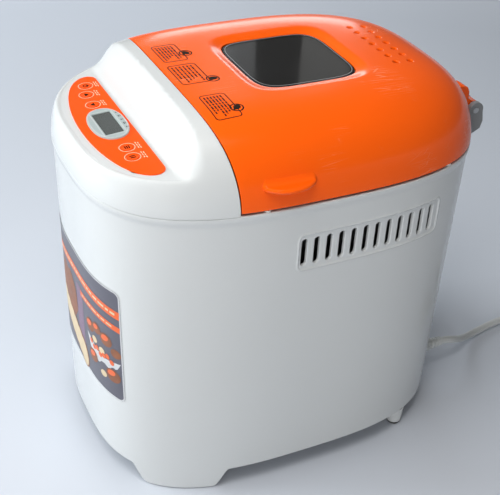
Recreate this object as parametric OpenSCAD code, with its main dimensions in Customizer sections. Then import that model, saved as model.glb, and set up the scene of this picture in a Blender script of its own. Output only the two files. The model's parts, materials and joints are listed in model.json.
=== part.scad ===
// Bread machine with a front control panel, a rear-hinged domed lid and a belt-driven kneading pan.
// Z is up, the panel faces -Y, and the origin is on the standing surface under the middle of the machine.

/* [Case] */
// Width of the case at its rim
rim_w = 221; // [216:0.5:228]
// Length of the case at its rim
rim_l = 304; // [298:0.5:312]
// Width of the case at its foot
base_w = 215; // [208:0.5:220]
// Length of the case at its foot
base_l = 290; // [282:0.5:300]
// Height of the rim that the lid closes on
rim_z = 248; // [246:0.5:252]
// Exponent of the plan outline: 2 is an ellipse, more is squarer
plan_n = 3; // [2.8:0.1:3.3]
// Thickness of the case wall
wall = 2.5; // [2:0.1:3]
// Height of the skirt above the standing surface
skirt_z = 17; // [15:0.5:19]

/* [Vent grille] */
// Number of slots in each long side
slot_count = 12; // [6:1:14]
// Distance from slot to slot
slot_pitch = 9.75; // [8:0.25:10]
// Width of a slot
slot_w = 4.2; // [3:0.1:5]
// Height of the lower end of the slots
slot_z = 198.6; // [150:0.1:200]
// Length of a slot
slot_h = 21.6; // [16:0.1:24]

/* [Lid and deck] */
// Rise of the dome above the rim
dome_h = 55.5; // [50:0.5:60]
// Sharpness of the dome's shoulder
dome_m = 7.7; // [6:0.1:9]
// Where the line between deck and lid meets the rim
split_rim_y = -67; // [-70:0.5:-64]
// How far that line bows towards the front
split_bow = 11; // [8:0.5:12]
// Gap between deck and lid
split_gap = 0.8; // [0.6:0.1:1.2]
// Height of the lower edge of the lid
lid_z = 250; // [249.8:0.1:251]
// Half width of the window opening
window_a = 41.5; // [38:0.5:43]
// Half length of the window opening
window_b = 40.5; // [38:0.5:43]
// Middle of the window along the machine
window_y = 16.75; // [14:0.25:20]
// Number of steam holes in each of the two rows
steam_count = 7; // [5:1:8]
// Reach of the lift tab beyond the middle plane
tab_reach = 118; // [114:0.5:120]

/* [Control panel] */
// Height of the panel at its middle
panel_z = 272; // [270:0.5:274]
// Slope of the panel, higher towards the lid
panel_tilt = 4.5; // [3:0.5:6]
// Radius of a key
key_r = 4.2; // [3.8:0.1:4.4]
// Travel of a key
key_travel = 0.6; // [0.4:0.1:0.6]

/* [Oven and pan] */
// Middle of the pan along the machine
pan_y = 33; // [31:0.5:35]
// Half width of the oven chamber
oven_a = 88; // [86:0.5:90]
// Half length of the oven chamber
oven_b = 92; // [90:0.5:93]
// Height of the oven floor's underside
oven_z = 62; // [62:0.5:64]
// Half width of the bread pan
pan_a = 58; // [54:0.5:59]
// Half length of the bread pan
pan_b = 66; // [62:0.5:68]
// Height of the bread pan's floor underside
pan_z = 86; // [86:0.5:88]
// Height of the bread pan's rim
pan_top = 224; // [220:0.5:226]

/* [Drive] */
// Working radius of the large pulley
big_r = 52; // [48:0.5:54]
// Working radius of the motor pulley
small_r = 9.5; // [8:0.5:11]
// Middle of the motor along the machine
motor_y = -100; // [-102:0.5:-98]
// Running clearance between a shaft and its bore
run_fit = 0.06; // [0.03:0.01:0.1]

/* [Cord] */
// Diameter of the cord
cord_d = 6.5; // [6:0.1:7]

/* [Hidden] */
$fn = 48;

hinge_back = 8;                        // the hinge axis stands this far behind the rim
hinge_y = rim_l / 2 + hinge_back;
hinge_z = 256;
hinge_x = 34;                          // middle of each hinge
hinge_r = 6;                           // radius of a hinge arm round its pin
pin_r = 2.5;
cheek_w = 4;
arm_w = 11.2;
bracket_back = hinge_y + 8;            // rearmost face of the machine
case_y = (rim_l / 2 - bracket_back) / 2;   // middle of the case, so that the whole box is centred

lip = 1;                               // the rim stands out this far beyond the wall
foot_z = 0.6;                          // the skin of the front feet ends just above the pads
dome_e = 0.55;
outline_steps = 72;
rim_steps = 48;
split_steps = 24;
shell_t = 2.5;                         // thickness of the deck and the lid
edge_band = 2;                         // upright band along the lower edge of the deck and the lid
lid_rings = [0.998, 0.99, 0.97, 0.94, 0.9, 0.84, 0.75, 0.6, 0.35, 0];
lid_inner_rings = [0, 0.5, 0.8, 0.93, 1];
deck_rings = [0.998, 0.99, 0.97, 0.93, 0.87, 0.8, 0.72, 0.64, 0.56, 0.48, 0.4, 0.3, 0.2, 0.1, 0];
lip_start = 0.92;                      // where the low lip in front of the panel begins, as a share of the outline
lip_width = 0.04;

panel_y = -119;
pocket_front_y = -103.5;               // foot of the slope behind the panel
pocket_back_y = -87;                   // crest of that slope
lip_rise = 2.2;
blend = 5;
overlay_t = 0.8;
overlay_a = 77;
overlay_b = 27.4;
overlay_y = -112;
overlay_corner = 6.7;
deck_hole = [71, 12.5, -119.5, 3];   // half width, half length, middle, exponent
key_spots = [[-62.5, 3.1], [-48.8, -0.7], [-32, -1.2], [36.2, 0], [49.6, -0.8]];
lcd_half = [15.9, 6.6];
lcd_y = -1;
board_z = -11;
board_t = 1.6;

base_t = 3;
base_z = skirt_z + 0.5;
chassis_z = 42;
chassis_t = 2;
pulley_z = 27;
pulley_h = 10;
belt_t = 2.2;
belt_gap = 0.3;
motor_r = 34;
motor_z = chassis_z + chassis_t;
motor_h = 66;
spindle_r = 5;
shaft_r = 4;
oven_t = 1.2;
oven_corner = 30;
pan_t = 1.6;
pan_corner = 25;
element_r = 3.25;
element_z = 76;
element_a = 78;
element_b = 82;
element_corner = 30;
lead_x = 34;
lead_l = 12;
lead_bend = 10;
ear_z = 214;
bail_r = 2.5;
bail_x = 63.6;
bail_reach = 74;
slot_y0 = -19;
sensor_spot = [40, oven_z + 60];
post_spots = [[-52, -108], [52, -108], [-52, 100], [52, 100]];
screw_spots = concat(post_spots, [[-94, 10], [94, 10]]);
liner_spots = [[-76, -42], [76, -42], [-76, 96], [76, 96]];
lid_hole = [window_a, window_b, window_y, 5];
label_half = 66;
label_z = [76, 177];

cord_r = cord_d / 2;
cord_x = 44;
cord_z = 28.5;
relief_tip_y = 166;
coil_at = [58, 296];                   // middle of the coil, from the middle of the case
coil_r = 38;
lane = 7;                              // distance from turn to turn
plug_at = [97.5, 233];
plug_r = 18;
plug_h = 20;
// Middle line of the cord from the strain relief to the coil, from the middle of the case
cord_route = [[44, 166, 28.5], [43.6, 174, 27.2], [41.8, 182, 23.8], [38.4, 190, 19.2], [34, 198, 14.4],
    [29.4, 206, 10], [25.4, 214, 6.8], [22, 222, 4.8], [19.2, 231, 3.7], [17, 240, 3.3], [15.4, 249, 3.3], [14.3, 258, 3.3],
    [13.6, 267, 3.3], [13.2, 276, 3.3], [13, 284, 3.3]];

// ---------------------------------------------------------------- shapes worked out by formula

function sgn_pow(v, e) = sign(v) * pow(abs(v), e);
function oval_point(a, b, n, t) = [a * sgn_pow(cos(t), 2 / n), b * sgn_pow(sin(t), 2 / n)];
function oval(a, b, n, steps) = [for (i = [0 : steps - 1]) oval_point(a, b, n, 360 * i / steps)];
function lift(points, z) = [for (p = points) [p[0], p[1], z]];
function smooth(v) = let (u = min(1, max(0, v))) u * u * (3 - 2 * u);
function soft_min(a, b, k) = let (h = max(k - abs(a - b), 0) / k) min(a, b) - h * h * k / 4;

function half_w(z) = base_w / 2 + (rim_w / 2 - lip - base_w / 2) * z / rim_z;
function half_l(z) = base_l / 2 + (rim_l / 2 - lip - base_l / 2) * z / rim_z;
function wall_ring(z, grow) = lift(oval(half_w(z) + grow, half_l(z) + grow, plan_n, outline_steps), z);
function wall_front_y(x, z) = -half_l(z) * pow(1 - pow(abs(x) / half_w(z), plan_n), 1 / plan_n);

function rho(x, y) = pow(pow(abs(x) / (rim_w / 2), plan_n) + pow(abs(y) / (rim_l / 2), plan_n), 1 / plan_n);
function dome_z(x, y) = rim_z + dome_h * pow(max(0, 1 - pow(min(1, rho(x, y)), dome_m)), dome_e);
function rim_x(y) = rim_w / 2 * pow(1 - pow(abs(y) / (rim_l / 2), plan_n), 1 / plan_n);
function rim_angle(y) = asin(sgn_pow(y / (rim_l / 2), plan_n / 2));
function split_y(x, end_y) = end_y - split_bow * (1 - pow(min(1, abs(x) / rim_x(end_y)), 6));
function split_line(end_y) = [for (j = [1 : split_steps - 1])
    let (x = -rim_x(end_y) * cos(180 * j / split_steps)) [x, split_y(x, end_y)]];
function rim_arc(from, to) = [for (i = [0 : rim_steps])
    oval_point(rim_w / 2, rim_l / 2, plan_n, from + (to - from) * i / rim_steps)];
function reversed(list) = [for (i = [len(list) - 1 : -1 : 0]) list[i]];

// Outline of the lid and of the deck, anticlockwise, starting where the split meets the rim
lid_end = split_rim_y + split_gap / 2;
deck_end = split_rim_y - split_gap / 2;
lid_edge = concat(rim_arc(rim_angle(lid_end), 180 - rim_angle(lid_end)), split_line(lid_end));
deck_edge = concat(rim_arc(180 - rim_angle(deck_end), 360 + rim_angle(deck_end)),
    reversed(split_line(deck_end)));

// The panel is a flat floor sunk into the dome, with a slope up to the lid and a low lip in front
function floor_z(y) = panel_z + (y - panel_y) * tan(panel_tilt);
function dish_z(x, y) = soft_min(dome_z(x, y), floor_z(y) + lip_rise * smooth((rho(x, y) - lip_start) / lip_width), blend);
function deck_z(x, y) =
    let (s = smooth((y - pocket_front_y) / (pocket_back_y - pocket_front_y)))
    dish_z(x, y) * (1 - s) + dome_z(x, y) * s;

// A point on an oval hole, seen from the hole's middle towards p
function hole_point(hole, p) =
    let (dx = p[0], dy = p[1] - hole[2], d = norm([dx, dy]),
        r = pow(pow(abs(dx / d) / hole[0], hole[3]) + pow(abs(dy / d) / hole[1], hole[3]), -1 / hole[3]))
    [dx / d * r, hole[2] + dy / d * r];
function inset_point(hole, p, t) =
    let (dx = p[0], dy = p[1] - hole[2], d = norm([dx, dy])) [p[0] - dx / d * t, p[1] - dy / d * t];

// ---------------------------------------------------------------- solids from rings of points

function band_faces(rings, n, closed) = [for (k = [0 : rings - (closed ? 1 : 2)]) for (i = [0 : n - 1])
    let (a = k * n + i, b = k * n + (i + 1) % n, c = (k + 1) % rings * n + i, d = (k + 1) % rings * n + (i + 1) % n)
    each [[a, d, b], [a, c, d]]];

// A wall that closes on itself, such as a tube with a thick wall
module ring_wall(rings) {
    n = len(rings[0]);
    polyhedron([for (r = rings) each r], band_faces(len(rings), n, true), convexity = 10);
}

// A bar with a face at each end
module ring_bar(rings) {
    n = len(rings[0]);
    last = (len(rings) - 1) * n;
    polyhedron([for (r = rings) each r], concat(band_faces(len(rings), n, false),
        [[for (i = [0 : n - 1]) i]], [[for (i = [n - 1 : -1 : 0]) last + i]]), convexity = 10);
}

module rounded_rect(a, b, r) {
    square([2 * a, 2 * (b - r)], center = true);
    square([2 * (a - r), 2 * b], center = true);
    for (x = [-1, 1], y = [-1, 1]) translate([x * (a - r), y * (b - r)]) circle(r);
}

module at_case() translate([0, case_y, 0]) children();
module at_pan() translate([0, case_y + pan_y, 0]) children();
module at_motor() translate([0, case_y + motor_y, 0]) children();
module at_panel() translate([0, case_y + panel_y, panel_z]) rotate([panel_tilt, 0, 0]) children();
module at_hinge() translate([0, case_y + hinge_y, hinge_z]) children();
module both_sides() {
    children();
    mirror([1, 0, 0]) children();
}

// ---------------------------------------------------------------- housing

module vent_slot(y) translate([0, y, slot_z + slot_h / 2]) rotate([90, 0, 90]) linear_extrude(30) {
    square([slot_w, slot_h - slot_w], center = true);
    for (s = [-1, 1]) translate([0, s * (slot_h - slot_w) / 2]) circle(slot_w / 2);
}

module body_shell() color("white") at_case() difference() {
    ring_wall([wall_ring(foot_z, 0), wall_ring(skirt_z, 0), wall_ring(rim_z / 2, 0), wall_ring(rim_z - 5, 0),
        wall_ring(rim_z - 4, lip), wall_ring(rim_z, lip), wall_ring(rim_z, -wall), wall_ring(rim_z / 2, -wall),
        wall_ring(foot_z, -wall)]);
    both_sides() for (i = [0 : slot_count - 1]) translate([90, 0, 0]) vent_slot(slot_y0 + slot_pitch * i);
    translate([-150, 0, 0]) rotate([90, 0, 90]) linear_extrude(300)
        polygon([[-77, -1], [-67, skirt_z], [200, skirt_z], [200, -1]]);
    rotate([90, 0, 0]) linear_extrude(200)
        polygon([[-78, -1], [-69, skirt_z], [69, skirt_z], [78, -1]]);
    translate([cord_x, 0, cord_z]) rotate([-90, 0, 0]) cylinder(r = 6.2, h = 200);
}

module base_plate() color("gainsboro") at_case() difference() {
    translate([0, 0, base_z]) linear_extrude(base_t)
        polygon(oval(half_w(base_z) - wall - 0.2, half_l(base_z) - wall - 0.2, plan_n, outline_steps));
    for (x = [-1, 1], i = [0 : 5]) translate([x * 66, -40 + 16 * i, base_z - 1])
        linear_extrude(base_t + 2) square([34, 4], center = true);
    for (p = screw_spots) translate([p[0], p[1], base_z - 1]) cylinder(r = 1.9, h = base_t + 2);
    for (x = [-1, 1]) translate([x * 90, 93, base_z - 1]) cylinder(r = 3, h = base_t + 2);
}

module rear_feet() color("white") at_case() both_sides() translate([90, 93, 0]) {
    translate([0, 0, 2]) cylinder(r1 = 6, r2 = 7.2, h = skirt_z - 2.4);
    translate([0, 0, skirt_z - 0.4]) cylinder(r = 3.9, h = base_z - skirt_z + 0.4);
    translate([0, 0, base_z]) cylinder(r = 3, h = base_t);
}

module foot_pads() color("dimgray") at_case() both_sides() {
    translate([90, 93, 0]) cylinder(r = 5.5, h = 2);
    translate([80, -99, 0]) cylinder(r = 6, h = base_z);
}

module case_screws() color("silver") at_case() for (p = screw_spots) translate([p[0], p[1], 0]) {
    difference() {
        translate([0, 0, base_z - 1.8]) cylinder(r = 3.6, h = 1.8);
        translate([0, 0, base_z - 2.4]) linear_extrude(1.6) square([4.4, 0.9], center = true);
        translate([0, 0, base_z - 2.4]) linear_extrude(1.6) square([0.9, 4.4], center = true);
    }
    translate([0, 0, base_z]) cylinder(r = 1.9, h = base_t);
}

module chamber_collar() color("white") at_case() difference() {
    translate([0, 0, rim_z - 3.5]) linear_extrude(3.5)
        polygon(oval(rim_w / 2 - lip - wall - 0.3, rim_l / 2 - lip - wall - 0.3, plan_n, outline_steps));
    translate([0, pan_y, rim_z - 5]) linear_extrude(10) rounded_rect(oven_a, oven_b, oven_corner);
    translate([0, -103, rim_z - 5]) linear_extrude(10) rounded_rect(70, 30, 20);
}

// ---------------------------------------------------------------- frame and drive

module chassis() color("lightsteelblue") at_case() {
    difference() {
        translate([0, -8, chassis_z]) linear_extrude(chassis_t) rounded_rect(66, 124, 30);
        translate([0, pan_y, chassis_z - 1]) cylinder(r = 12, h = 4);
        translate([0, motor_y, chassis_z - 1]) cylinder(r = 12, h = 4);
        for (x = [-1, 1], y = [-34, 94]) translate([x * 26, y, chassis_z - 1]) cylinder(r = 10, h = 4);
    }
    for (p = post_spots) translate([p[0], p[1], base_z + base_t]) cylinder(r = 5, h = chassis_z - base_z - base_t);
    for (x = [-1, 1], y = [-1, 1]) translate([x * 50, pan_y + y * 50, chassis_z + chassis_t])
        cylinder(r = 5, h = oven_z - chassis_z - chassis_t);
}

module spindle_bearing() color("goldenrod") at_pan() difference() {
    union() {
        translate([0, 0, pulley_z + pulley_h + 2]) cylinder(r = 11.5, h = oven_z - pulley_z - pulley_h - 2);
        translate([0, 0, chassis_z + chassis_t]) cylinder(r = 18, h = 3);
    }
    translate([0, 0, pulley_z + pulley_h]) cylinder(r = spindle_r + run_fit, h = 40);
}

module motor_housing() color("darkgray") at_motor() difference() {
    union() {
        translate([0, 0, motor_z]) cylinder(r = motor_r - 4, h = 12);
        translate([0, 0, motor_z + 12]) cylinder(r = motor_r, h = 42);
        translate([0, 0, motor_z + 54]) cylinder(r = motor_r - 4, h = 8);
        translate([0, 0, motor_z + 62]) cylinder(r = 10, h = 4);
    }
    translate([0, 0, motor_z - 1]) cylinder(r = shaft_r + run_fit, h = motor_h + 4);
}

module motor_shaft() color("silver") at_motor() translate([0, 0, pulley_z - 2]) cylinder(r = shaft_r, h = 98);

module motor_pulley() color("dimgray") at_motor() rotate_extrude() difference() {
    translate([shaft_r, pulley_z - 1]) square([small_r + 2 - shaft_r, pulley_h + 2]);
    translate([small_r, pulley_z + 0.5]) square([5, pulley_h - 1]);
}

module motor_fan() color("whitesmoke") at_motor() translate([0, 0, motor_z + motor_h + 1]) {
    difference() {
        cylinder(r = 9, h = 9);
        translate([0, 0, -1]) cylinder(r = shaft_r, h = 11);
    }
    for (i = [0 : 6]) rotate(360 / 7 * i) translate([8.5, 0, 4]) rotate([28, 0, 0])
        translate([0, -4.5, -0.6]) cube([18, 9, 1.2]);
}

module drive_spindle() color("silver") at_pan() {
    translate([0, 0, pulley_z - 2]) cylinder(r = spindle_r, h = 66 - pulley_z);
    translate([0, 0, 64]) cylinder(r = 22, h = 3);
    for (s = [-1, 1]) translate([-4, s * 17 - 3, 67]) cube([8, 6, 9]);
}

module large_pulley() color("dimgray") at_pan() {
    difference() {
        rotate_extrude() difference() {
            translate([spindle_r, pulley_z - 1]) square([big_r + 2 - spindle_r, pulley_h + 2]);
            translate([big_r, pulley_z + 0.5]) square([5, pulley_h - 1]);
            translate([14, pulley_z + 3]) square([30, pulley_h]);
            translate([14, pulley_z - 2]) square([30, 2.5]);
        }
        for (i = [0 : 5]) rotate(60 * i) translate([29, 0, pulley_z - 2]) cylinder(r = 9, h = 20);
    }
}

// Outline of a loop round both pulleys, with its straight runs on the common tangents
module loop_outline(grow) {
    span = pan_y - motor_y;
    c = (big_r - small_r) / span;
    s = sqrt(1 - c * c);
    ra = big_r + grow;
    rb = small_r + grow;
    translate([0, pan_y]) circle(ra);
    translate([0, motor_y]) circle(rb);
    polygon([[ra * s, pan_y - ra * c], [-ra * s, pan_y - ra * c], [-rb * s, motor_y - rb * c],
        [rb * s, motor_y - rb * c]]);
}

module drive_belt() color("black") at_case() translate([0, 0, pulley_z + 1]) linear_extrude(pulley_h - 2)
    difference() {
        loop_outline(belt_gap + belt_t);
        loop_outline(belt_gap);
    }

module motor_capacitor() color("lightgray") at_case() translate([-49, -104, motor_z]) {
    linear_extrude(34) rounded_rect(9, 15, 2);
    for (y = [-6, 6]) translate([0, y, 34]) linear_extrude(5) square([0.8, 5], center = true);
}

module power_board() color("darkgreen") at_case() translate([50, -100, motor_z]) {
    translate([0, -30, 0]) cube([1.6, 60, 84]);
    translate([1.6, -22, 12]) cube([14, 18, 16]);
    translate([1.6, 4, 14]) cube([11, 20, 15]);
    translate([1.6, -20, 40]) cube([16, 28, 24]);
    translate([1.6, 16, 56]) rotate([0, 90, 0]) cylinder(r = 5, h = 12);
    translate([1.6, 16, 42]) rotate([0, 90, 0]) cylinder(r = 4, h = 11);
    for (i = [0 : 3]) translate([1.6, -18 + 8 * i, 74]) cube([8, 6, 7]);
}

// ---------------------------------------------------------------- deck and control panel

module top_deck() color("white") at_case() {
    ring_wall(concat(
        [lift(deck_edge, rim_z)],
        [[for (p = deck_edge) [p[0], p[1], max(deck_z(p[0], p[1]), rim_z + edge_band)]]],
        [for (r = deck_rings) [for (p = deck_edge)
            let (q = hole_point(deck_hole, p), v = q + (p - q) * r) [v[0], v[1], deck_z(v[0], v[1])]]],
        [for (r = reversed(deck_rings)) [for (p = deck_edge)
            let (q = hole_point(deck_hole, p), e = inset_point(deck_hole, p, shell_t), v = q + (e - q) * r)
            [v[0], v[1], deck_z(v[0], v[1]) - shell_t]]],
        [[for (p = deck_edge) let (e = inset_point(deck_hole, p, shell_t)) [e[0], e[1], rim_z]]]));
}

function overlay_outline(inset) = concat(
    [for (i = [0 : 40]) let (t = 180 + 180 * i / 40)
        [(overlay_a - inset) * cos(t), overlay_y - panel_y + (overlay_b - inset) * sin(t)]],
    [for (i = [1 : 6]) let (t = 90 * i / 6, r = overlay_corner - inset)
        [overlay_a - overlay_corner + r * cos(t), overlay_y - panel_y + r * sin(t)]],
    [for (i = [0 : 5]) let (t = 90 + 90 * i / 6, r = overlay_corner - inset)
        [overlay_corner - overlay_a + r * cos(t), overlay_y - panel_y + r * sin(t)]]);

module key_holes(r, z, h) for (k = key_spots) translate([k[0], k[1], z]) cylinder(r = r, h = h);
module lcd_block(grow, z, h) translate([0, lcd_y, z]) linear_extrude(h)
    square([2 * (lcd_half[0] + grow), 2 * (lcd_half[1] + grow)], center = true);

module control_overlay() color("orangered") at_panel() difference() {
    linear_extrude(overlay_t) polygon(overlay_outline(0));
    key_holes(key_r + 0.3, -1, 3);
    lcd_block(0, -1, 3);
}

module lcd_bezel() color("lightgray") at_panel() difference() {
    translate([0, lcd_y, overlay_t]) linear_extrude(1.1) polygon(oval(22.7, 13, 2.3, 48));
    lcd_block(0, 0, 5);
}

module lcd_lens() color("darkslategray", 0.6) at_panel() lcd_block(-0.1, 0.2, 1.2);

module lcd_module() color("darkolivegreen") at_panel() {
    lcd_block(1.4, board_z + board_t, 3.5);
    lcd_block(-0.4, -5.9, 5.9);
}

module key_carrier() color("whitesmoke") at_panel() difference() {
    translate([0, deck_hole[2] - panel_y, -4.8]) linear_extrude(2.2) polygon(oval(74, 15, plan_n, 48));
    key_holes(key_r + 0.3, -6, 5);
    lcd_block(0.4, -6, 5);
}

module control_board() color("seagreen") at_panel() {
    translate([0, -0.5, board_z]) linear_extrude(board_t) rounded_rect(70, 12, 3);
    for (k = key_spots) translate([k[0], k[1], board_z + board_t]) linear_extrude(2.2) square([6, 6], center = true);
    for (x = [-1, 1]) translate([x * 24, -6, board_z + board_t]) cylinder(r = 2, h = -4.8 - board_z - board_t);
}

module key(i) color("orangered") at_panel() translate([key_spots[i][0], key_spots[i][1], 0]) {
    translate([0, 0, -6]) cylinder(r = key_r, h = 6 + overlay_t + 0.3);
    translate([0, 0, -6]) cylinder(r = key_r + 1, h = 1);
}

module key_1() key(0);
module key_2() key(1);
module key_3() key(2);
module key_4() key(3);
module key_5() key(4);

// Printed label on the front wall, a thin sheet that follows the wall
function label_ring(x) = let (t = 0.3) [
    [x, wall_front_y(x, label_z[0]) - t, label_z[0]], [x, wall_front_y(x, label_z[0]), label_z[0]],
    [x, wall_front_y(x, label_z[1]), label_z[1]], [x, wall_front_y(x, label_z[1]) - t, label_z[1]]];

module front_label() color("slategray") at_case()
    ring_bar([for (i = [0 : 24]) label_ring(-label_half + 2 * label_half * i / 24)]);

// ---------------------------------------------------------------- oven and pan

module oven_chamber() color("silver") at_pan() difference() {
    union() {
        translate([0, 0, oven_z]) linear_extrude(rim_z - oven_z) rounded_rect(oven_a, oven_b, oven_corner);
        translate([0, 0, rim_z]) linear_extrude(0.8) rounded_rect(oven_a + 5, oven_b + 5, oven_corner + 5);
    }
    translate([0, 0, oven_z + oven_t]) linear_extrude(rim_z)
        rounded_rect(oven_a - oven_t, oven_b - oven_t, oven_corner - oven_t);
    translate([0, 0, oven_z - 1]) cylinder(r = 8, h = 4);
    for (x = [-1, 1]) translate([x * lead_x, -oven_b + 4, element_z]) rotate([90, 0, 0]) cylinder(r = 5, h = 8);
    translate([sensor_spot[0], -oven_b + 4, sensor_spot[1]]) rotate([90, 0, 0]) cylinder(r = 3, h = 8);
}

module pan_mount() color("gray") at_pan() {
    difference() {
        translate([0, 0, oven_z + oven_t]) cylinder(r = 46, h = 16);
        translate([0, 0, oven_z]) cylinder(r = 44, h = 20);
    }
    difference() {
        translate([0, 0, oven_z + oven_t]) cylinder(r = 50, h = 1.2);
        translate([0, 0, oven_z]) cylinder(r = 44, h = 4);
    }
    for (s = [0, 1]) rotate(180 * s) intersection() {
        difference() {
            translate([0, 0, 74]) cylinder(r = 44.5, h = 4);
            translate([0, 0, 73]) cylinder(r = 40.8, h = 6);
        }
        translate([0, -5, 73]) cube([50, 10, 6]);
    }
}

module element_corner_bend(a) rotate(a) rotate_extrude(angle = 90) translate([element_corner, 0]) circle(element_r);

module heating_element() color("dimgray") at_pan() translate([0, 0, element_z]) {
    for (s = [-1, 1]) {
        translate([s * element_a, 0, 0]) rotate([90, 0, 0])
            cylinder(r = element_r, h = 2 * (element_b - element_corner), center = true);
        translate([s * (lead_x + lead_bend), -element_b, 0]) rotate([0, s * 90, 0])
            cylinder(r = element_r, h = element_a - element_corner - lead_x - lead_bend);
        translate([s * lead_x, -element_b - lead_bend, 0]) rotate([90, 0, 0]) cylinder(r = element_r, h = lead_l);
    }
    translate([0, element_b, 0]) rotate([0, 90, 0])
        cylinder(r = element_r, h = 2 * (element_a - element_corner), center = true);
    translate([element_a - element_corner, element_b - element_corner, 0]) element_corner_bend(0);
    translate([element_corner - element_a, element_b - element_corner, 0]) element_corner_bend(90);
    translate([element_corner - element_a, element_corner - element_b, 0]) element_corner_bend(180);
    translate([element_a - element_corner, element_corner - element_b, 0]) element_corner_bend(270);
    translate([lead_x + lead_bend, -element_b - lead_bend, 0]) rotate(90) rotate_extrude(angle = 90)
        translate([lead_bend, 0]) circle(element_r);
    translate([-lead_x - lead_bend, -element_b - lead_bend, 0]) rotate_extrude(angle = 90)
        translate([lead_bend, 0]) circle(element_r);
}

module element_bushings() color("ivory") at_pan() for (x = [-1, 1])
    translate([x * lead_x, -oven_b, element_z]) rotate([90, 0, 0]) difference() {
        union() {
            cylinder(r = 7.5, h = 5);
            translate([0, 0, -2]) cylinder(r = 4.9, h = 5);
        }
        translate([0, 0, -5]) cylinder(r = element_r + 0.15, h = 20);
    }

module element_clips() color("silver") at_pan() for (s = [-1, 1]) translate([s * element_a, 0, 0]) {
    translate([-4, -4, oven_z + oven_t]) cube([8, 8, 1]);
    translate([-1, -4, oven_z + oven_t + 1]) cube([2, 8, element_z - element_r - oven_z - oven_t - 1]);
}

module temperature_sensor() color("silver") at_pan()
    translate([sensor_spot[0], -oven_b, sensor_spot[1]]) rotate([90, 0, 0]) {
        translate([0, 0, -10]) cylinder(r = 2.8, h = 10);
        cylinder(r = 6, h = 2);
        translate([0, 0, 2]) cylinder(r = 3.4, h = 5);
    }

module thermal_fuse() color("white") at_pan() translate([-46, -oven_b - 4, oven_z + 44]) {
    rotate([0, 90, 0]) cylinder(r = 3, h = 22);
    for (x = [2, 16]) translate([x, 2, -5]) cube([4, 2, 10]);
}

module bread_pan() color("gray") at_pan() {
    difference() {
        union() {
            translate([0, 0, pan_z]) linear_extrude(pan_top - pan_z) rounded_rect(pan_a, pan_b, pan_corner);
            translate([0, 0, pan_top - 1.6]) linear_extrude(1.6)
                rounded_rect(pan_a + 2.5, pan_b + 2.5, pan_corner + 2.5);
        }
        translate([0, 0, pan_z + 2]) linear_extrude(pan_top)
            rounded_rect(pan_a - pan_t, pan_b - pan_t, pan_corner - pan_t);
        translate([0, 0, pan_z - 1]) cylinder(r = 10, h = 5);
    }
    both_sides() difference() {
        translate([pan_a, 0, ear_z]) rotate([0, 90, 0]) cylinder(r = 6.5, h = 2.4);
        translate([pan_a + 0.4, 0, ear_z]) rotate([0, 90, 0]) cylinder(r = bail_r + run_fit, h = 5);
    }
}

module pan_ring() color("silver") at_pan() {
    difference() {
        translate([0, 0, 67.5]) cylinder(r = 40, h = pan_z - 67.5);
        translate([0, 0, 60]) cylinder(r = 38.4, h = 40);
    }
    for (s = [0, 1]) rotate(180 * s) intersection() {
        difference() {
            translate([0, 0, 69]) cylinder(r = 43.4, h = 4.4);
            translate([0, 0, 68]) cylinder(r = 39.2, h = 6);
        }
        translate([0, -4, 68]) cube([50, 8, 6]);
    }
}

module pan_bearing() color("goldenrod") at_pan() difference() {
    union() {
        translate([0, 0, pan_z - 7]) cylinder(r = 13, h = 7);
        translate([0, 0, pan_z]) cylinder(r = 10, h = 5);
    }
    translate([0, 0, pan_z - 10]) cylinder(r = shaft_r + run_fit, h = 30);
}

module pan_handle() color("silver") at_pan() translate([0, 0, ear_z]) {
    corner = 16;
    for (s = [-1, 1]) {
        translate([s * (pan_a + 0.5), 0, 0]) rotate([0, s * 90, 0]) cylinder(r = bail_r, h = bail_x - pan_a - 0.5);
        translate([s * bail_x, 0, 0]) rotate([-90, 0, 0]) cylinder(r = bail_r, h = bail_reach - corner);
        translate([s * bail_x, 0, 0]) sphere(r = bail_r);
    }
    translate([bail_x - corner, bail_reach - corner, 0]) rotate_extrude(angle = 90)
        translate([corner, 0]) circle(bail_r);
    translate([corner - bail_x, bail_reach - corner, 0]) rotate(90) rotate_extrude(angle = 90)
        translate([corner, 0]) circle(bail_r);
    translate([0, bail_reach, 0]) rotate([0, 90, 0])
        cylinder(r = bail_r, h = 2 * (bail_x - corner), center = true);
}

module shaft_flat(z, h) translate([2.8, -10, z]) cube([10, 20, h]);

module paddle_shaft() color("silver") at_pan() {
    difference() {
        translate([0, 0, 70]) cylinder(r = shaft_r, h = 40);
        shaft_flat(pan_z + 8, 40);
    }
    difference() {
        translate([-19, -4, 70]) cube([38, 8, 5]);
        translate([0, 0, 69]) cylinder(r = shaft_r, h = 7);
    }
}

module kneading_paddle() color("dimgray") at_pan() translate([0, 0, pan_z + 5.6]) difference() {
    union() {
        cylinder(r1 = 11, r2 = 9, h = 20);
        translate([0, -2.2, 0]) cube([44, 4.4, 8]);
        rotate([90, 0, 0]) translate([0, 0, -2.2]) linear_extrude(4.4)
            polygon([[0, 7], [44, 7], [41, 20], [26, 27], [8, 19], [0, 19]]);
    }
    difference() {
        translate([0, 0, -1]) cylinder(r = shaft_r, h = 20.5);
        shaft_flat(2.4, 30);
    }
}

// ---------------------------------------------------------------- lid

module lift_tab() translate([0, -33, 264]) linear_extrude(3.6)
    polygon([for (i = [0 : 24]) let (t = -90 + 180 * i / 24)
        [104 + (tab_reach - 104) * cos(t), 20 * sin(t)]]);

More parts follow.
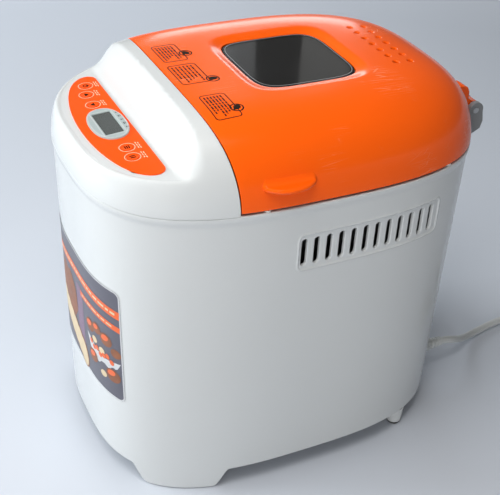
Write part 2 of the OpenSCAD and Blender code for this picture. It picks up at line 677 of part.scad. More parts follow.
module lid_shell() color("darkorange") at_case() difference() {
    union() {
        ring_wall(concat(
            [lift(lid_edge, lid_z)],
            [[for (p = lid_edge) [p[0], p[1], max(dome_z(p[0], p[1]), lid_z + edge_band)]]],
            [for (r = lid_rings) [for (p = lid_edge)
                let (q = hole_point(lid_hole, p), v = q + (p - q) * r) [v[0], v[1], dome_z(v[0], v[1])]]],
            [for (r = lid_inner_rings) [for (p = lid_edge)
                let (q = hole_point(lid_hole, p), e = inset_point(lid_hole, p, shell_t), v = q + (e - q) * r)
                [v[0], v[1], dome_z(v[0], v[1]) - shell_t]]],
            [[for (p = lid_edge) let (e = inset_point(lid_hole, p, shell_t)) [e[0], e[1], lid_z]]]));
        both_sides() difference() {
            lift_tab();
            translate([0, 0, 200]) linear_extrude(100) polygon(oval(rim_w / 2 - 3.2, rim_l / 2 - 3.2, plan_n, 48));
        }
    }
    for (row = [0, 1], i = [0 : steam_count - 1])
        translate([(i - (steam_count - 1) / 2) * 11.25, 87.4 + 12.2 * row, 280]) cylinder(r = 1.8, h = 40);
}

module lid_window() color("dimgray", 0.5) at_case() translate([0, window_y, 298])
    linear_extrude(2.6) polygon(oval(window_a - 0.3, window_b - 0.3, 5, 48));

module window_well() color("dimgray") at_case() translate([0, window_y, 253]) linear_extrude(45) difference() {
    polygon(oval(window_a - 0.3, window_b - 0.3, 5, 48));
    polygon(oval(window_a - 1.8, window_b - 1.8, 5, 48));
}

function liner_edge(t) = [for (p = lid_edge) inset_point(lid_hole, p, t)];

module lid_liner() color("silver") at_case() difference() {
    translate([0, 0, 251.8]) linear_extrude(1.2) polygon(liner_edge(4));
    translate([0, window_y, 251]) linear_extrude(3) polygon(oval(window_a - 3, window_b - 3, 5, 48));
    for (p = liner_spots) translate([p[0], p[1], 251]) cylinder(r = 1.6, h = 3);
}

module lid_inner_glass() color("lightcyan", 0.4) at_case() translate([0, window_y, 253])
    linear_extrude(2.4) polygon(oval(window_a - 2, window_b - 2, 5, 48));

module lid_gasket() color("whitesmoke") at_pan() translate([0, 0, 249.2]) linear_extrude(2.6) difference() {
    rounded_rect(oven_a + 4, oven_b + 4, oven_corner + 4);
    rounded_rect(oven_a - 2, oven_b - 2, oven_corner - 2);
}

module liner_screws() color("silver") at_case() for (p = liner_spots) translate([p[0], p[1], 0]) {
    translate([0, 0, 250.4]) cylinder(r = 3.2, h = 1.4);
    translate([0, 0, 251.8]) cylinder(r = 1.6, h = 8);
}

module hinge_arm() difference() {
    rotate([90, 0, 90]) translate([0, 0, -arm_w / 2]) linear_extrude(arm_w) {
        circle(hinge_r);
        polygon([[0, -hinge_r], [-4, -5.2], [-9, -5], [-13, -2], [-18, 2], [-17, 20], [-11.5, 20.5], [-7.5, 18.5],
            [-5.8, 15], [-5.4, 9], [-2, 6.8], [1.5, 5.8]]);
    }
    rotate([0, 90, 0]) cylinder(r = pin_r, h = 40, center = true);
}

module lid_hinge_arms() color("darkorange") at_hinge() both_sides() translate([hinge_x, 0, 0]) hinge_arm();

module hinge_pins() color("silver") at_hinge() both_sides() translate([hinge_x, 0, 0]) rotate([0, 90, 0])
    cylinder(r = pin_r, h = arm_w + 2 * cheek_w + 1, center = true);

module hinge_cheek() difference() {
    rotate([90, 0, 90]) translate([0, 0, -cheek_w / 2]) linear_extrude(cheek_w) {
        circle(hinge_r + 0.5);
        polygon([[-6.4, -1], [-8.6, -9], [-8.6, -24], [6.4, -16], [8, -10], [6.4, -1]]);
    }
    rotate([0, 90, 0]) cylinder(r = pin_r + run_fit, h = 20, center = true);
}

module hinge_brackets() color("gray") at_hinge() both_sides() translate([hinge_x, 0, 0]) {
    for (s = [-1, 1]) translate([s * (arm_w / 2 + 0.4 + cheek_w / 2), 0, 0]) hinge_cheek();
    rotate([90, 0, 90]) translate([0, 0, -arm_w / 2 - 0.4]) linear_extrude(arm_w + 0.8)
        polygon([[-8.6, -9], [-8.6, -24], [6.4, -16], [6.4, -9]]);
    translate([-6, -14, -20]) cube([12, 6, 8]);
}

module rest_bumpers() color("white") at_case() both_sides() for (y = [-48, 100])
    translate([rim_x(y) - 2.5, y, rim_z]) cylinder(r = 2.2, h = 1.7);

// ---------------------------------------------------------------- cord

module cord_relief() color("gainsboro") at_case() translate([cord_x, 136, cord_z]) rotate([-90, 0, 0]) {
    translate([0, 0, -4]) cylinder(r = 7.6, h = 4);
    cylinder(r = 6, h = 12);
    translate([0, 0, 12]) cylinder(r1 = 5.6, r2 = cord_r + 0.6, h = relief_tip_y - 148);
}

function direction(a, b) = (b - a) / norm(b - a);
function tube_ring(p, d, r) =
    let (side = cross(d, [0, 0, 1]) / norm(cross(d, [0, 0, 1])), up = cross(side, d))
    [for (i = [0 : 9]) p + side * r * cos(36 * i) + up * r * sin(36 * i)];
function tube_rings(path, r) = [for (i = [0 : len(path) - 1])
    tube_ring(path[i], direction(path[max(0, i - 1)], path[min(len(path) - 1, i + 1)]), r)];

module power_cord() color("whitesmoke") at_case() ring_bar(reversed(tube_rings(cord_route, cord_r)));

module cord_coil() color("whitesmoke") at_case() translate([coil_at[0], coil_at[1], 0]) rotate_extrude()
    translate([coil_r - lane - cord_r, 0]) square([2 * (lane + cord_r), 2 * cord_d]);

module plug_body() color("whitesmoke") at_case() translate([plug_at[0], plug_at[1], 0]) difference() {
    union() {
        cylinder(r1 = 14, r2 = plug_r, h = 4);
        translate([0, 0, 4]) cylinder(r = plug_r, h = plug_h - 4);
        translate([0, 12, 1.5 * cord_d]) rotate([-90, 0, 0]) cylinder(r1 = 7.5, r2 = cord_r + 0.8, h = 24);
    }
    for (s = [-1, 1]) translate([-2.2, s * plug_r - 1, 9]) cube([4.4, 2, 20]);
}

module plug_pins() color("silver") at_case() translate([plug_at[0], plug_at[1], 0]) {
    for (s = [-1, 1]) {
        translate([s * 9.5, 0, plug_h]) cylinder(r = 2.4, h = 19);
        translate([-2, s * (plug_r - 0.6) - 0.4, 9]) cube([4, 0.8, plug_h - 9]);
    }
}

body_shell();
base_plate();
rear_feet();
foot_pads();
case_screws();
chassis();
spindle_bearing();
motor_housing();
motor_capacitor();
power_board();
control_board();
lcd_module();
key_carrier();
drive_belt();
chamber_collar();
oven_chamber();
pan_mount();
heating_element();
element_bushings();
element_clips();
temperature_sensor();
thermal_fuse();
top_deck();
control_overlay();
lcd_bezel();
lcd_lens();
front_label();
hinge_brackets();
rest_bumpers();
lid_shell();
lid_window();
window_well();
lid_liner();
lid_inner_glass();
lid_gasket();
liner_screws();
lid_hinge_arms();
hinge_pins();
drive_spindle();
large_pulley();
motor_shaft();
motor_pulley();
motor_fan();
bread_pan();
pan_ring();
pan_bearing();
pan_handle();
paddle_shaft();
kneading_paddle();
key_1();
key_2();
key_3();
key_4();
key_5();
cord_relief();
power_cord();
cord_coil();
plug_body();
plug_pins();
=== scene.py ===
"""Bread machine: shells, prints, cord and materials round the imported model.

Shapes are worked out in millimetres and turned into metres where a mesh is made. +Z is up, the control
panel faces -Y, and CASE_Y is the middle of the case, which stands a little in front of the origin.
"""
import json
from math import ceil, cos, pi, radians, sin, sqrt, tan

import bmesh
import bpy
import numpy as np
from mathutils import Matrix, Vector
from mathutils.geometry import delaunay_2d_cdt


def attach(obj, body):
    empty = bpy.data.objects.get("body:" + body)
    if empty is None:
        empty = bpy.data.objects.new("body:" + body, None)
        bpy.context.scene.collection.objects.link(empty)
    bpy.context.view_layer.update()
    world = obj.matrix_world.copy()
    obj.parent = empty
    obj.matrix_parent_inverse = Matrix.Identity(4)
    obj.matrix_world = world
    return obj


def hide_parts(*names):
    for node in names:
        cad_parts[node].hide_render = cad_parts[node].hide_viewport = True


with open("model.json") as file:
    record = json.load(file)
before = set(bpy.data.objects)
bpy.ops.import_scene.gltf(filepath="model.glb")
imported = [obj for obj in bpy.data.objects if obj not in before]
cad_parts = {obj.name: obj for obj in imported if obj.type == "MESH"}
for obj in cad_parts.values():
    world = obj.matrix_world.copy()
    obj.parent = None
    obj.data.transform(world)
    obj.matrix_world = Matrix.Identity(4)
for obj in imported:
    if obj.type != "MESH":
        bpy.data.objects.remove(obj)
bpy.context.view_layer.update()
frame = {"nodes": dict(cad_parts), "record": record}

MM = 0.001
CASE_Y = -8.0

# Case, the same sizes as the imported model's
RIM_A, RIM_B = 110.5, 152.0
BASE_A, BASE_B = 107.5, 145.0
RIM_Z = 248.0
PLAN_N = 3.0
LIP = 1.0
SHELL_T = 2.5
SKIRT_Z = 17.0
FOOT_Z = 0.6
WALL_TOP = 246.8

# Dome, deck and lid
DOME_H, DOME_M, DOME_E = 55.5, 7.7, 0.55
SPLIT_RIM_Y, SPLIT_BOW, SPLIT_GAP = -67.0, 11.0, 0.8
LID_Z = 250.0
WINDOW = (41.5, 40.5, 16.75, 5.0)
GLASS_DIP = 2.4
BEVEL_REACH = 1.22
STEAM_R, STEAM_Y, STEAM_PITCH_X, STEAM_PITCH_Y = 3.0, 87.4, 11.25, 12.2

# Control panel
PANEL_Y, PANEL_Z, PANEL_TILT = -119.0, 272.0, 4.5
POCKET_FRONT_Y, POCKET_BACK_Y = -103.5, -87.0
LIP_START, LIP_WIDTH, LIP_RISE = 0.945, 0.025, 0.9
BLEND = 5.0
DECK_HOLE = (71.0, 12.5, -119.5, 3.0)
KEY_SPOTS = [(-62.5, 3.1), (-48.8, -0.7), (-32.0, -1.2), (36.2, 0.0), (49.6, -0.8)]
KEY_R = 4.2
LCD_Y = -1.0
LCD_BOX = (-15.9, 15.9, LCD_Y - 6.6, LCD_Y + 6.6)

# Grille in each long side
SLOT_COUNT, SLOT_PITCH, SLOT_Y0 = 12, 9.75, -19.0
SLOT_W, SLOT_Z, SLOT_H = 4.2, 198.6, 21.6
GRILLE = (-23.6, 95.8, 195.2, 224.4)
GRILLE_CORNER = 4.5

# Lift tabs in the lid's sides
TAB_Y, TAB_LOW, TAB_HIGH, TAB_REACH, TAB_HALF = -33.0, 264.0, 267.6, 118.0, 20.0

# Cord: where it leaves the case, and how it goes from there to its coil
CORD_D = 6.5
CORD_X, CORD_Z = 44.0, 28.5
CORD_HOLE_R = 6.8
CORD_ROUTE = [(44, 150, 28.5), (44, 158, 28.5), (44, 166, 28.5), (43.6, 174, 27.2), (41.8, 182, 23.8),
              (38.4, 190, 19.2), (34, 198, 14.4), (29.4, 206, 10), (25.4, 214, 6.8), (22, 222, 4.8),
              (19.2, 231, 3.7), (17, 240, 3.3), (15.4, 249, 3.3), (14.3, 258, 3.3), (13.6, 267, 3.3),
              (13.2, 276, 3.3), (13, 284, 3.3)]
COIL_AT = (58.0, 296.0)
COIL_R, COIL_LANE = 38.0, 7.0
PLUG_AT = (97.5, 233.0)
PLUG_CORD_Z = 9.8
CORD_TAIL = [(97.6, y, PLUG_CORD_Z) for y in (288, 280, 272, 264)]


def link(obj):
    bpy.context.scene.collection.objects.link(obj)
    return obj


# ---- camera and light

VIEW_ANGLES = (63.14, 33.74, 3.09)
VIEW_TARGET = (-5.7, -2.5 + CASE_Y, 138.2)
VIEW_DISTANCE = 0.849
LENS = 75.92


def make_camera():
    """Looks from the right front and above, as far off as the photograph's perspective asks."""
    azimuth, elevation, roll = (radians(a) for a in VIEW_ANGLES)
    back = Vector((sin(azimuth) * cos(elevation), -cos(azimuth) * cos(elevation),
                   sin(elevation)))
    level = Vector((cos(azimuth), sin(azimuth), 0))
    rise = back.cross(level)
    right = level * cos(roll) + rise * sin(roll)
    up = rise * cos(roll) - level * sin(roll)
    place = Matrix((right, up, back)).transposed().to_4x4()
    place.translation = Vector(VIEW_TARGET) * MM + back * VIEW_DISTANCE
    data = bpy.data.cameras.new("camera")
    data.lens = LENS
    data.sensor_width = 36
    camera = link(bpy.data.objects.new("camera", data))
    camera.matrix_world = place
    bpy.context.scene.camera = camera


# Place, aim, size, power, colour, and whether rough surfaces or gloss show it
WINDOW_TINT = (0.94, 0.985, 1.0)
WALL_TINT = (0.95, 0.98, 1.0)
LIGHTS = {
    "window_light": ((-0.95, -1.45, 0.7), (-0.1, -0.05, 0.1), (1.1, 0.8), 29.5, WINDOW_TINT, "rough"),
    "window_sheen": ((-0.8, -1.35, 0.95), (-0.05, -0.05, 0.1), (1.1, 0.9), 4, WINDOW_TINT, "gloss"),
    "ceiling_light": ((0.2, -0.3, 0.95), (0.05, 0, 0.25), (0.6, 0.6), 5.9, (1.0, 0.99, 0.97), "rough"),
    "side_light": ((0.9, -0.75, 0.32), (0.15, -0.05, 0.0), (0.4, 0.3), 4.2, (1.0, 0.98, 0.95), "rough"),
    "fill_light": ((-1.7, 0.3, 0.9), (-0.7, 0.1, 0), (0.8, 0.8), 8, (0.88, 0.94, 1.0), "rough"),
    "pale_wall": ((-1.8, 0.86, 0.72), (0, 0, 0.3), (0.7, 0.34), 2.8, WALL_TINT, "gloss"),
    "left_pane": ((-1.67, 0.74, 1.11), (0, 0, 0.3), (0.14, 0.4), 0.07, WALL_TINT, "gloss"),
    "right_pane": ((-1.55, 0.96, 1.11), (0, 0, 0.3), (0.13, 0.4), 0.06, (0.98, 0.98, 0.95), "gloss"),
}


def make_lights():
    for name, (place, aim, size, power, colour, shown_by) in LIGHTS.items():
        data = bpy.data.lights.new(name, "AREA")
        data.shape = "RECTANGLE"
        data.size, data.size_y = size
        data.energy = power
        data.color = colour
        light = link(bpy.data.objects.new(name, data))
        light.location = place
        light.rotation_euler = (Vector(aim) - Vector(place)).to_track_quat("-Z", "Y").to_euler()
        light.visible_glossy = shown_by == "gloss"
        light.visible_diffuse = shown_by == "rough"


make_camera()
make_lights()


# ---- materials

MATERIALS = {}


class Look:
    """A node material round one Principled shader."""

    def __init__(self, name):
        self.material = bpy.data.materials.new(name)
        self.material.use_nodes = True
        self.tree = self.material.node_tree
        self.shader = self.tree.nodes["Principled BSDF"]
        self.coords = self.node("TexCoord").outputs["Object"]
        MATERIALS[name] = self.material

    def node(self, kind, **values):
        """A node with its settings (small names) and its inputs (names with a capital)."""
        made = self.tree.nodes.new("ShaderNode" + kind)
        for key, value in values.items():
            if hasattr(made, key):
                setattr(made, key, value)
            else:
                made.inputs[key.replace("_", " ")].default_value = value
        return made

    def wire(self, source, target):
        self.tree.links.new(source, target)

    def feed(self, name, source):
        self.wire(source, self.shader.inputs[name])

    def paint(self, colour):
        self.feed("Base Color", colour)

    def dull(self, source, low, high):
        """Roughness from one value to another as a noise rises."""
        self.feed("Roughness", self.ranged(source, 0.3, 0.7, low, high))

    def set(self, **values):
        for key, value in values.items():
            self.shader.inputs[key.replace("_", " ")].default_value = value

    def stretched(self, scale, turned=(0, 0, 0)):
        mapping = self.node("Mapping", Scale=scale, Rotation=turned)
        self.wire(self.coords, mapping.inputs["Vector"])
        return mapping.outputs["Vector"]

    def noise(self, scale, detail=3.0, stretch=(1, 1, 1)):
        made = self.node("TexNoise", Scale=scale, Detail=detail)
        self.wire(self.stretched(stretch), made.inputs["Vector"])
        return made.outputs["Fac"]

    def cells(self, scale, feature="F1", stretch=(1, 1, 1), turned=(0, 0, 0)):
        made = self.node("TexVoronoi", feature=feature, Scale=scale)
        self.wire(self.stretched(stretch, turned), made.inputs["Vector"])
        return made.outputs["Distance"]

    def ranged(self, source, low, high, to_low=0.0, to_high=1.0):
        made = self.node("MapRange", From_Min=low, From_Max=high, To_Min=to_low, To_Max=to_high)
        self.wire(source, made.inputs["Value"])
        return made.outputs["Result"]

    def maths(self, operation, first, second):
        made = self.node("Math", operation=operation)
        for value, socket in ((first, made.inputs[0]), (second, made.inputs[1])):
            if isinstance(value, (int, float)):
                socket.default_value = value
            else:
                self.wire(value, socket)
        return made.outputs[0]

    def plus(self, first, second):
        return self.maths("ADD", first, second)

    def times(self, first, second):
        return self.maths("MULTIPLY", first, second)

    def mixed(self, factor, first, second):
        made = self.node("Mix", data_type="RGBA")
        self.wire(factor, made.inputs["Factor"])
        for value, socket in ((first, made.inputs[6]), (second, made.inputs[7])):
            if isinstance(value, tuple):
                socket.default_value = (*value, 1)
            else:
                self.wire(value, socket)
        return made.outputs[2]

    def mottled(self, factor, colour, amount):
        """The colour, a little darker where the factor is low and paler where it is high."""
        darker, paler = (tuple(min(1.0, c * share) for c in colour) for share in (1 - amount, 1 + amount))
        return self.mixed(factor, darker, paler)

    def bump(self, height, strength, distance):
        made = self.node("Bump", Strength=strength, Distance=distance)
        self.wire(height, made.inputs["Height"])
        self.feed("Normal", made.outputs["Normal"])


# Colour, roughness, metal, colour variation, scale of its patches, scale of the grain, depth of the grain
FINISHES = {
    "white_case": ((0.62, 0.642, 0.648), 0.2, 0, 0.012, 9, 420, 0.008),
    "orange_overlay": ((0.95, 0.085, 0.002), 0.42, 0, 0.03, 14, 1600, 0.02),
    "grey_trim": ((0.36, 0.42, 0.42), 0.4, 0, 0.02, 14, 1400, 0.02),
    "display_dark": ((0.028, 0.032, 0.034), 0.35, 0, 0.1),
    "dark_plastic": ((0.018, 0.018, 0.02), 0.5, 0, 0.15, 14, 1200, 0.04),
    "grey_base": ((0.5, 0.52, 0.53), 0.55, 0, 0.05, 14, 700, 0.06),
    "pale_plastic": ((0.66, 0.66, 0.62), 0.45, 0, 0.05, 14, 900, 0.04),
    "hinge_grey": ((0.22, 0.23, 0.24), 0.5, 0, 0.06, 14, 900, 0.05),
    "foot_rubber": ((0.02, 0.02, 0.02), 0.8, 0, 0.3, 60, 500, 0.08),
    "gasket_silicone": ((0.46, 0.44, 0.4), 0.6, 0, 0.08, 50, 600, 0.05),
    "screw_steel": ((0.45, 0.45, 0.46), 0.35, 1, 0.1, 200, 1500, 0.05),
    "plated_steel": ((0.56, 0.57, 0.58), 0.28, 1, 0.06, 50, 600, 0.03),
    "oven_steel": ((0.5, 0.5, 0.49), 0.38, 1, 0.12, 18, 300, 0.05),
    "motor_steel": ((0.2, 0.205, 0.21), 0.55, 0.8, 0.2, 40, 700, 0.08),
    "element_dark": ((0.05, 0.048, 0.05), 0.6, 0.5, 0.3, 60, 900, 0.08),
    "bearing_bronze": ((0.5, 0.3, 0.11), 0.4, 1, 0.15, 90, 900, 0.05),
    "ceramic": ((0.7, 0.66, 0.58), 0.5, 0, 0.05, 90, 1200, 0.04),
    "cord_plastic": ((0.6, 0.62, 0.62), 0.42, 0, 0.03, 30, 800, 0.03),
    "plug_brass": ((0.62, 0.61, 0.58), 0.22, 1, 0.05, 90, 1100, 0.02),
    "print_dark": ((0.02, 0.012, 0.008), 0.6, 0, 0.1, 120),
    "print_pale": ((0.95, 0.62, 0.45), 0.45, 0, 0.05, 120),
    "print_grey": ((0.1, 0.105, 0.11), 0.5, 0, 0.1, 120),
    "label_ground": ((0.1, 0.1, 0.13), 0.35, 0, 0.25, 22, 1200, 0.02),
    "label_orange": ((0.75, 0.13, 0.03), 0.35, 0, 0.08, 80),
    "label_brown": ((0.24, 0.085, 0.035), 0.4, 0, 0.45, 90, 300, 0.02),
    "label_cream": ((0.66, 0.53, 0.34), 0.4, 0, 0.2, 150, 500, 0.02),
    "label_plum": ((0.2, 0.13, 0.2), 0.4, 0, 0.2, 60),
    "label_edge": ((0.55, 0.56, 0.58), 0.35, 0, 0.05),
}
SPECIAL = {
    "white_case": {"spread": 0.04, "Coat_Weight": 0.35, "Coat_Roughness": 0.08},
    "orange_overlay": {"Specular_IOR_Level": 0.25},
    "plated_steel": {"stretch": (1, 1, 12)},
    "oven_steel": {"stretch": (1, 1, 14)},
    "print_dark": {"Specular_IOR_Level": 0.1},
    "print_pale": {"Specular_IOR_Level": 0.2},
    "print_grey": {"Specular_IOR_Level": 0.2},
}


def make_finish(name, colour, rough, metal, mottle, patch=14, grain=900, depth=0.03, spread=0.06,
                stretch=(1, 1, 1), **sockets):
    """A finish with slow colour patches, a fine grain in its bump and an uneven gloss."""
    look = Look(name)
    slow = look.noise(patch, 4.0)
    fine = look.noise(grain, 2.0, stretch)
    look.paint(look.mottled(slow, colour, mottle))
    uneven = look.plus(look.times(slow, 0.5), look.times(fine, 0.5))
    look.dull(uneven, max(0.02, rough - spread), rough + spread)
    look.bump(fine, depth * 10, 0.0001)
    look.set(Metallic=metal, **sockets)


def make_orange_lid():
    """Glossy orange with long hair scratches, and a faint rough haze towards the rear of the dome, where the
    colour is painted paler as a painted sheen.
    """
    look = Look("orange_lid")
    slow = look.noise(7.0, 4.0)
    base = look.mottled(slow, (1.0, 0.116, 0.003), 0.03)
    where = look.node("SeparateXYZ")
    look.wire(look.coords, where.inputs[0])
    rear = look.ranged(where.outputs["Y"], 0.03, 0.12)
    hairs = None
    for angle, scale in ((0.5, 150.0), (-0.9, 190.0), (1.9, 230.0)):
        edges = look.cells(scale, "DISTANCE_TO_EDGE", (1.0, 0.035, 1.0), (0.1, 0.0, angle))
        thin = look.ranged(edges, 0.0, 0.012, 1.0, 0.0)
        hairs = thin if hairs is None else look.maths("MAXIMUM", hairs, thin)
    hairs = look.times(hairs, look.ranged(look.noise(24.0), 0.56, 0.68))
    # Painted sheen: towards the rear the colour and the scratches are painted paler, standing in for light
    # reflected off the far slope; the same mask also makes the rear rougher.
    haze_and_sheen = look.times(look.ranged(look.noise(6.0, 2.0), 0.42, 0.75), rear)
    marks = look.times(hairs, look.plus(look.times(rear, 0.5), 0.12))
    pale = look.plus(look.times(haze_and_sheen, 0.05), marks)
    look.paint(look.mixed(pale, base, (0.95, 0.5, 0.3)))
    rough = look.plus(look.ranged(slow, 0.3, 0.7, 0.16, 0.23), look.times(haze_and_sheen, 0.14))
    look.feed("Roughness", look.plus(rough, look.times(hairs, 0.2)))
    look.bump(look.maths("SUBTRACT", look.noise(380.0, 2.0), look.times(hairs, 0.6)), 0.07, 0.0001)
    look.set(Coat_Weight=0.1, Coat_Roughness=0.06, Specular_IOR_Level=0.25)


def make_glass(name, tint, rough, clear):
    look = Look(name)
    smear = look.noise(30.0, 4.0, (1, 0.4, 1))
    look.paint(look.mottled(smear, tint, 0.04))
    look.dull(smear, rough, rough + 0.04)
    look.set(Transmission_Weight=clear, IOR=1.45)


def make_board():
    """Green lacquer over a grid of copper tracks."""
    look = Look("board_green")
    tracks = look.node("TexBrick", Scale=160.0, Mortar_Size=0.06, Color1=(0.012, 0.075, 0.03, 1),
                       Color2=(0.02, 0.1, 0.04, 1), Mortar=(0.05, 0.2, 0.08, 1))
    look.wire(look.coords, tracks.inputs["Vector"])
    look.paint(tracks.outputs["Color"])
    look.dull(look.noise(200.0), 0.25, 0.4)
    look.bump(tracks.outputs["Fac"], 0.2, 0.0001)


def make_nonstick():
    """Dark speckled coating with a soft sheen."""
    look = Look("nonstick")
    specks = look.ranged(look.cells(900.0), 0.0, 0.25, 1.0, 0.0)
    pattern = look.times(specks, look.ranged(look.noise(500.0), 0.55, 0.7))
    look.paint(look.mixed(pattern, (0.03, 0.03, 0.033), (0.14, 0.14, 0.15)))
    look.dull(look.noise(40.0), 0.32, 0.45)
    look.bump(look.noise(700.0), 0.2, 0.0001)
    look.set(Metallic=0.3)


def make_belt():
    """Rubber with fine cross ribs."""
    look = Look("belt_rubber")
    ribs = look.node("TexWave", bands_direction="Y", Scale=120.0)
    look.wire(look.coords, ribs.inputs["Vector"])
    look.paint(look.mixed(ribs.outputs["Fac"], (0.008, 0.008, 0.008), (0.03, 0.03, 0.03)))
    look.bump(ribs.outputs["Fac"], 0.5, 0.0005)
    look.dull(look.noise(90.0), 0.6, 0.8)


for finish_name, finish in FINISHES.items():
    make_finish(finish_name, *finish, **SPECIAL.get(finish_name, {}))
make_orange_lid()
make_glass("window_glass", (0.2, 0.205, 0.21), 0.03, 0.97)
make_glass("display_glass", (0.15, 0.165, 0.16), 0.14, 0.5)
make_board()
make_nonstick()
make_belt()


# ---- floor and sky

SKY_TINT = (0.93, 0.96, 1.0)
PALE = 0.52
GLOW_FROM, GLOW_TO = 0.9, 2.6


def make_floor():
    """A pale sheet that glows faintly far from the object."""
    look = Look("paper")
    cloud = look.noise(0.8, 2.0)
    look.paint(look.mixed(cloud, (0.61, 0.65, 0.72), (0.64, 0.68, 0.75)))
    look.dull(cloud, 0.6, 0.7)
    look.bump(look.noise(300.0), 0.02, 0.0005)
    reach = look.node("VectorMath", operation="LENGTH")
    look.wire(look.coords, reach.inputs[0])
    look.feed("Emission Strength", look.ranged(reach.outputs["Value"], GLOW_FROM, GLOW_TO, 0.0, 0.8 * PALE))
    look.set(Emission_Color=(*SKY_TINT, 1))
    floor = bmesh.new()
    bmesh.ops.create_grid(floor, x_segments=8, y_segments=8, size=4.0)
    mesh = bpy.data.meshes.new("floor")
    floor.to_mesh(mesh)
    floor.free()
    mesh.materials.append(look.material)
    link(bpy.data.objects.new("floor", mesh))


def make_sky():
    """A dim sky that the camera sees as pale as the far floor."""
    world = bpy.data.worlds.new("sky")
    bpy.context.scene.world = world
    world.use_nodes = True
    nodes, links = world.node_tree.nodes, world.node_tree.links
    tint = nodes.new("ShaderNodeMix")
    tint.data_type = "RGBA"
    links.new(nodes.new("ShaderNodeLightPath").outputs["Is Camera Ray"], tint.inputs["Factor"])
    tint.inputs[6].default_value = (0.13, 0.127, 0.123, 1)
    tint.inputs[7].default_value = (*(c * PALE for c in SKY_TINT), 1)
    links.new(tint.outputs[2], nodes["Background"].inputs["Color"])


make_floor()
make_sky()
bpy.context.scene.view_settings.view_transform = "Standard"


# ---- pieces

def finished(obj, body, replaces=()):
    link(obj)
    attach(obj, body)
    if replaces:
        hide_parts(*replaces)
    return obj


def piece(name, body, slot, verts, faces, material=None, replaces=(), normals=None):
    """A mesh piece from points in millimetres, measured from the middle of the case."""
    mesh = bpy.data.meshes.new(name)
    mesh.from_pydata([(v[0] * MM, (v[1] + CASE_Y) * MM, v[2] * MM) for v in verts], [], faces)
    mesh.materials.append(MATERIALS[material or slot])
    mesh.polygons.foreach_set("use_smooth", [True] * len(mesh.polygons))
    mesh.validate()
    if normals is None:
        mesh.set_sharp_from_angle(angle=radians(40))
    else:
        mesh.normals_split_custom_set_from_vertices([tuple(n) for n in normals])
    return finished(bpy.data.objects.new(name, mesh), body, replaces)


def columns(lists):
    return np.stack(lists, axis=-1)


def full_turn(count):
    return np.linspace(0, 2 * pi, count, endpoint=False)


def on_circle(reach, angle):
    return columns([reach * np.cos(angle), reach * np.sin(angle)])


def unit(vectors):
    return vectors / np.maximum(np.linalg.norm(vectors, axis=1, keepdims=True), 1e-9)


def smoothstep(v):
    u = np.clip(v, 0, 1)
    return u * u * (3 - 2 * u)


def ring_faces(rings, count, flipped=False):
    """Quads between each ring of points and the next, and a face over each end."""
    last = (rings - 1) * count
    faces = []
    for a in range(0, last, count):
        b = a + count
        faces += [(a + i, a + (i + 1) % count, b + (i + 1) % count, b + i) for i in range(count)]
    faces += [tuple(range(count))[::-1], tuple(range(last, last + count))]
    return [f[::-1] for f in faces] if flipped else faces


# ---- cord

def smooth_path(points, steps):
    """Catmull-Rom curve through the points."""
    pts = [np.array(p, float) for p in points]
    pts = [2 * pts[0] - pts[1]] + pts + [2 * pts[-1] - pts[-2]]
    path = []
    for p0, p1, p2, p3 in zip(pts, pts[1:], pts[2:], pts[3:]):
        for i in range(steps):
            t = i / steps
            path.append(0.5 * (2 * p1 + (p2 - p0) * t + (2 * p0 - 5 * p1 + 4 * p2 - p3) * t ** 2
                               + (3 * p1 - p0 - 3 * p2 + p3) * t ** 3))
    path.append(pts[-2])
    return path


def coil_point(turned):
    """A point of the coil after so many degrees: two turns wind in on the floor, the rest back out on top."""
    rise_from, rise_to = 720.0, 815.0
    if turned < rise_from:
        radius = COIL_R + COIL_LANE - COIL_LANE * turned / 360
    else:
        radius = COIL_R - COIL_LANE + COIL_LANE * max(0.0, turned - rise_to) / 360
    layer = CORD_D + 0.05
    height = layer - CORD_D / 2 + layer * float(smoothstep((turned - rise_from) / (rise_to - rise_from)))
    angle = radians(180 - turned)
    return (COIL_AT[0] + radius * cos(angle), COIL_AT[1] + radius * sin(angle), height)


def cord_curve(path):
    data = bpy.data.curves.new("mains_cord", "CURVE")
    data.dimensions = "3D"
    data.bevel_depth = CORD_D / 2 * MM
    data.bevel_resolution = 5
    data.use_fill_caps = True
    data.materials.append(MATERIALS["cord_plastic"])
    spline = data.splines.new("POLY")
    spline.points.add(len(path) - 1)
    for point, place in zip(spline.points, path):
        point.co = (place[0] * MM, (place[1] + CASE_Y) * MM, place[2] * MM, 1)
    spline.use_smooth = True
    cord = bpy.data.objects.new("mains_cord", data)
    return finished(cord, "case", ["power_cord", "cord_coil"])


def lathed(profile, steps, centre, upright=True):
    """Rings of (radius, along) points round an upright axis, or round one that runs backwards."""
    x, y, z = centre
    verts = []
    for radius, along in profile:
        for u, v in on_circle(radius, full_turn(steps)):
            verts.append((x + u, y + v, z + along) if upright else (x + v, y + along, z + u))
    return verts, ring_faces(len(profile), steps)


def ribs(count, start, pitch, wide, taper, land):
    """Profile of a bend guard: rings with grooves between, thinner one by one."""
    profile = []
    for i in range(count):
        along, radius, groove = start + pitch * i, wide - taper * i, wide - taper * i - 0.9
        profile += [(radius, along), (radius, along + land), (groove, along + land + 0.4),
                    (groove, along + land + 1.0)]
    return profile


def make_relief():
    profile = [(0.5, -4), (7.3, -4), (7.6, -3.7), (7.6, -0.3), (7.3, 0), (6, 0.2), (6, 11.2), (5.6, 12)]
    profile += ribs(5, 12.6, 3.3, 5.5, 0.3, 1.9) + [(4.1, 29.4), (3.9, 30), (3.3, 30)]
    verts, faces = lathed(profile, 40, (CORD_X, 136, CORD_Z), False)
    return piece("strain_relief", "case", "cord_plastic", verts, faces, replaces=["cord_relief"])


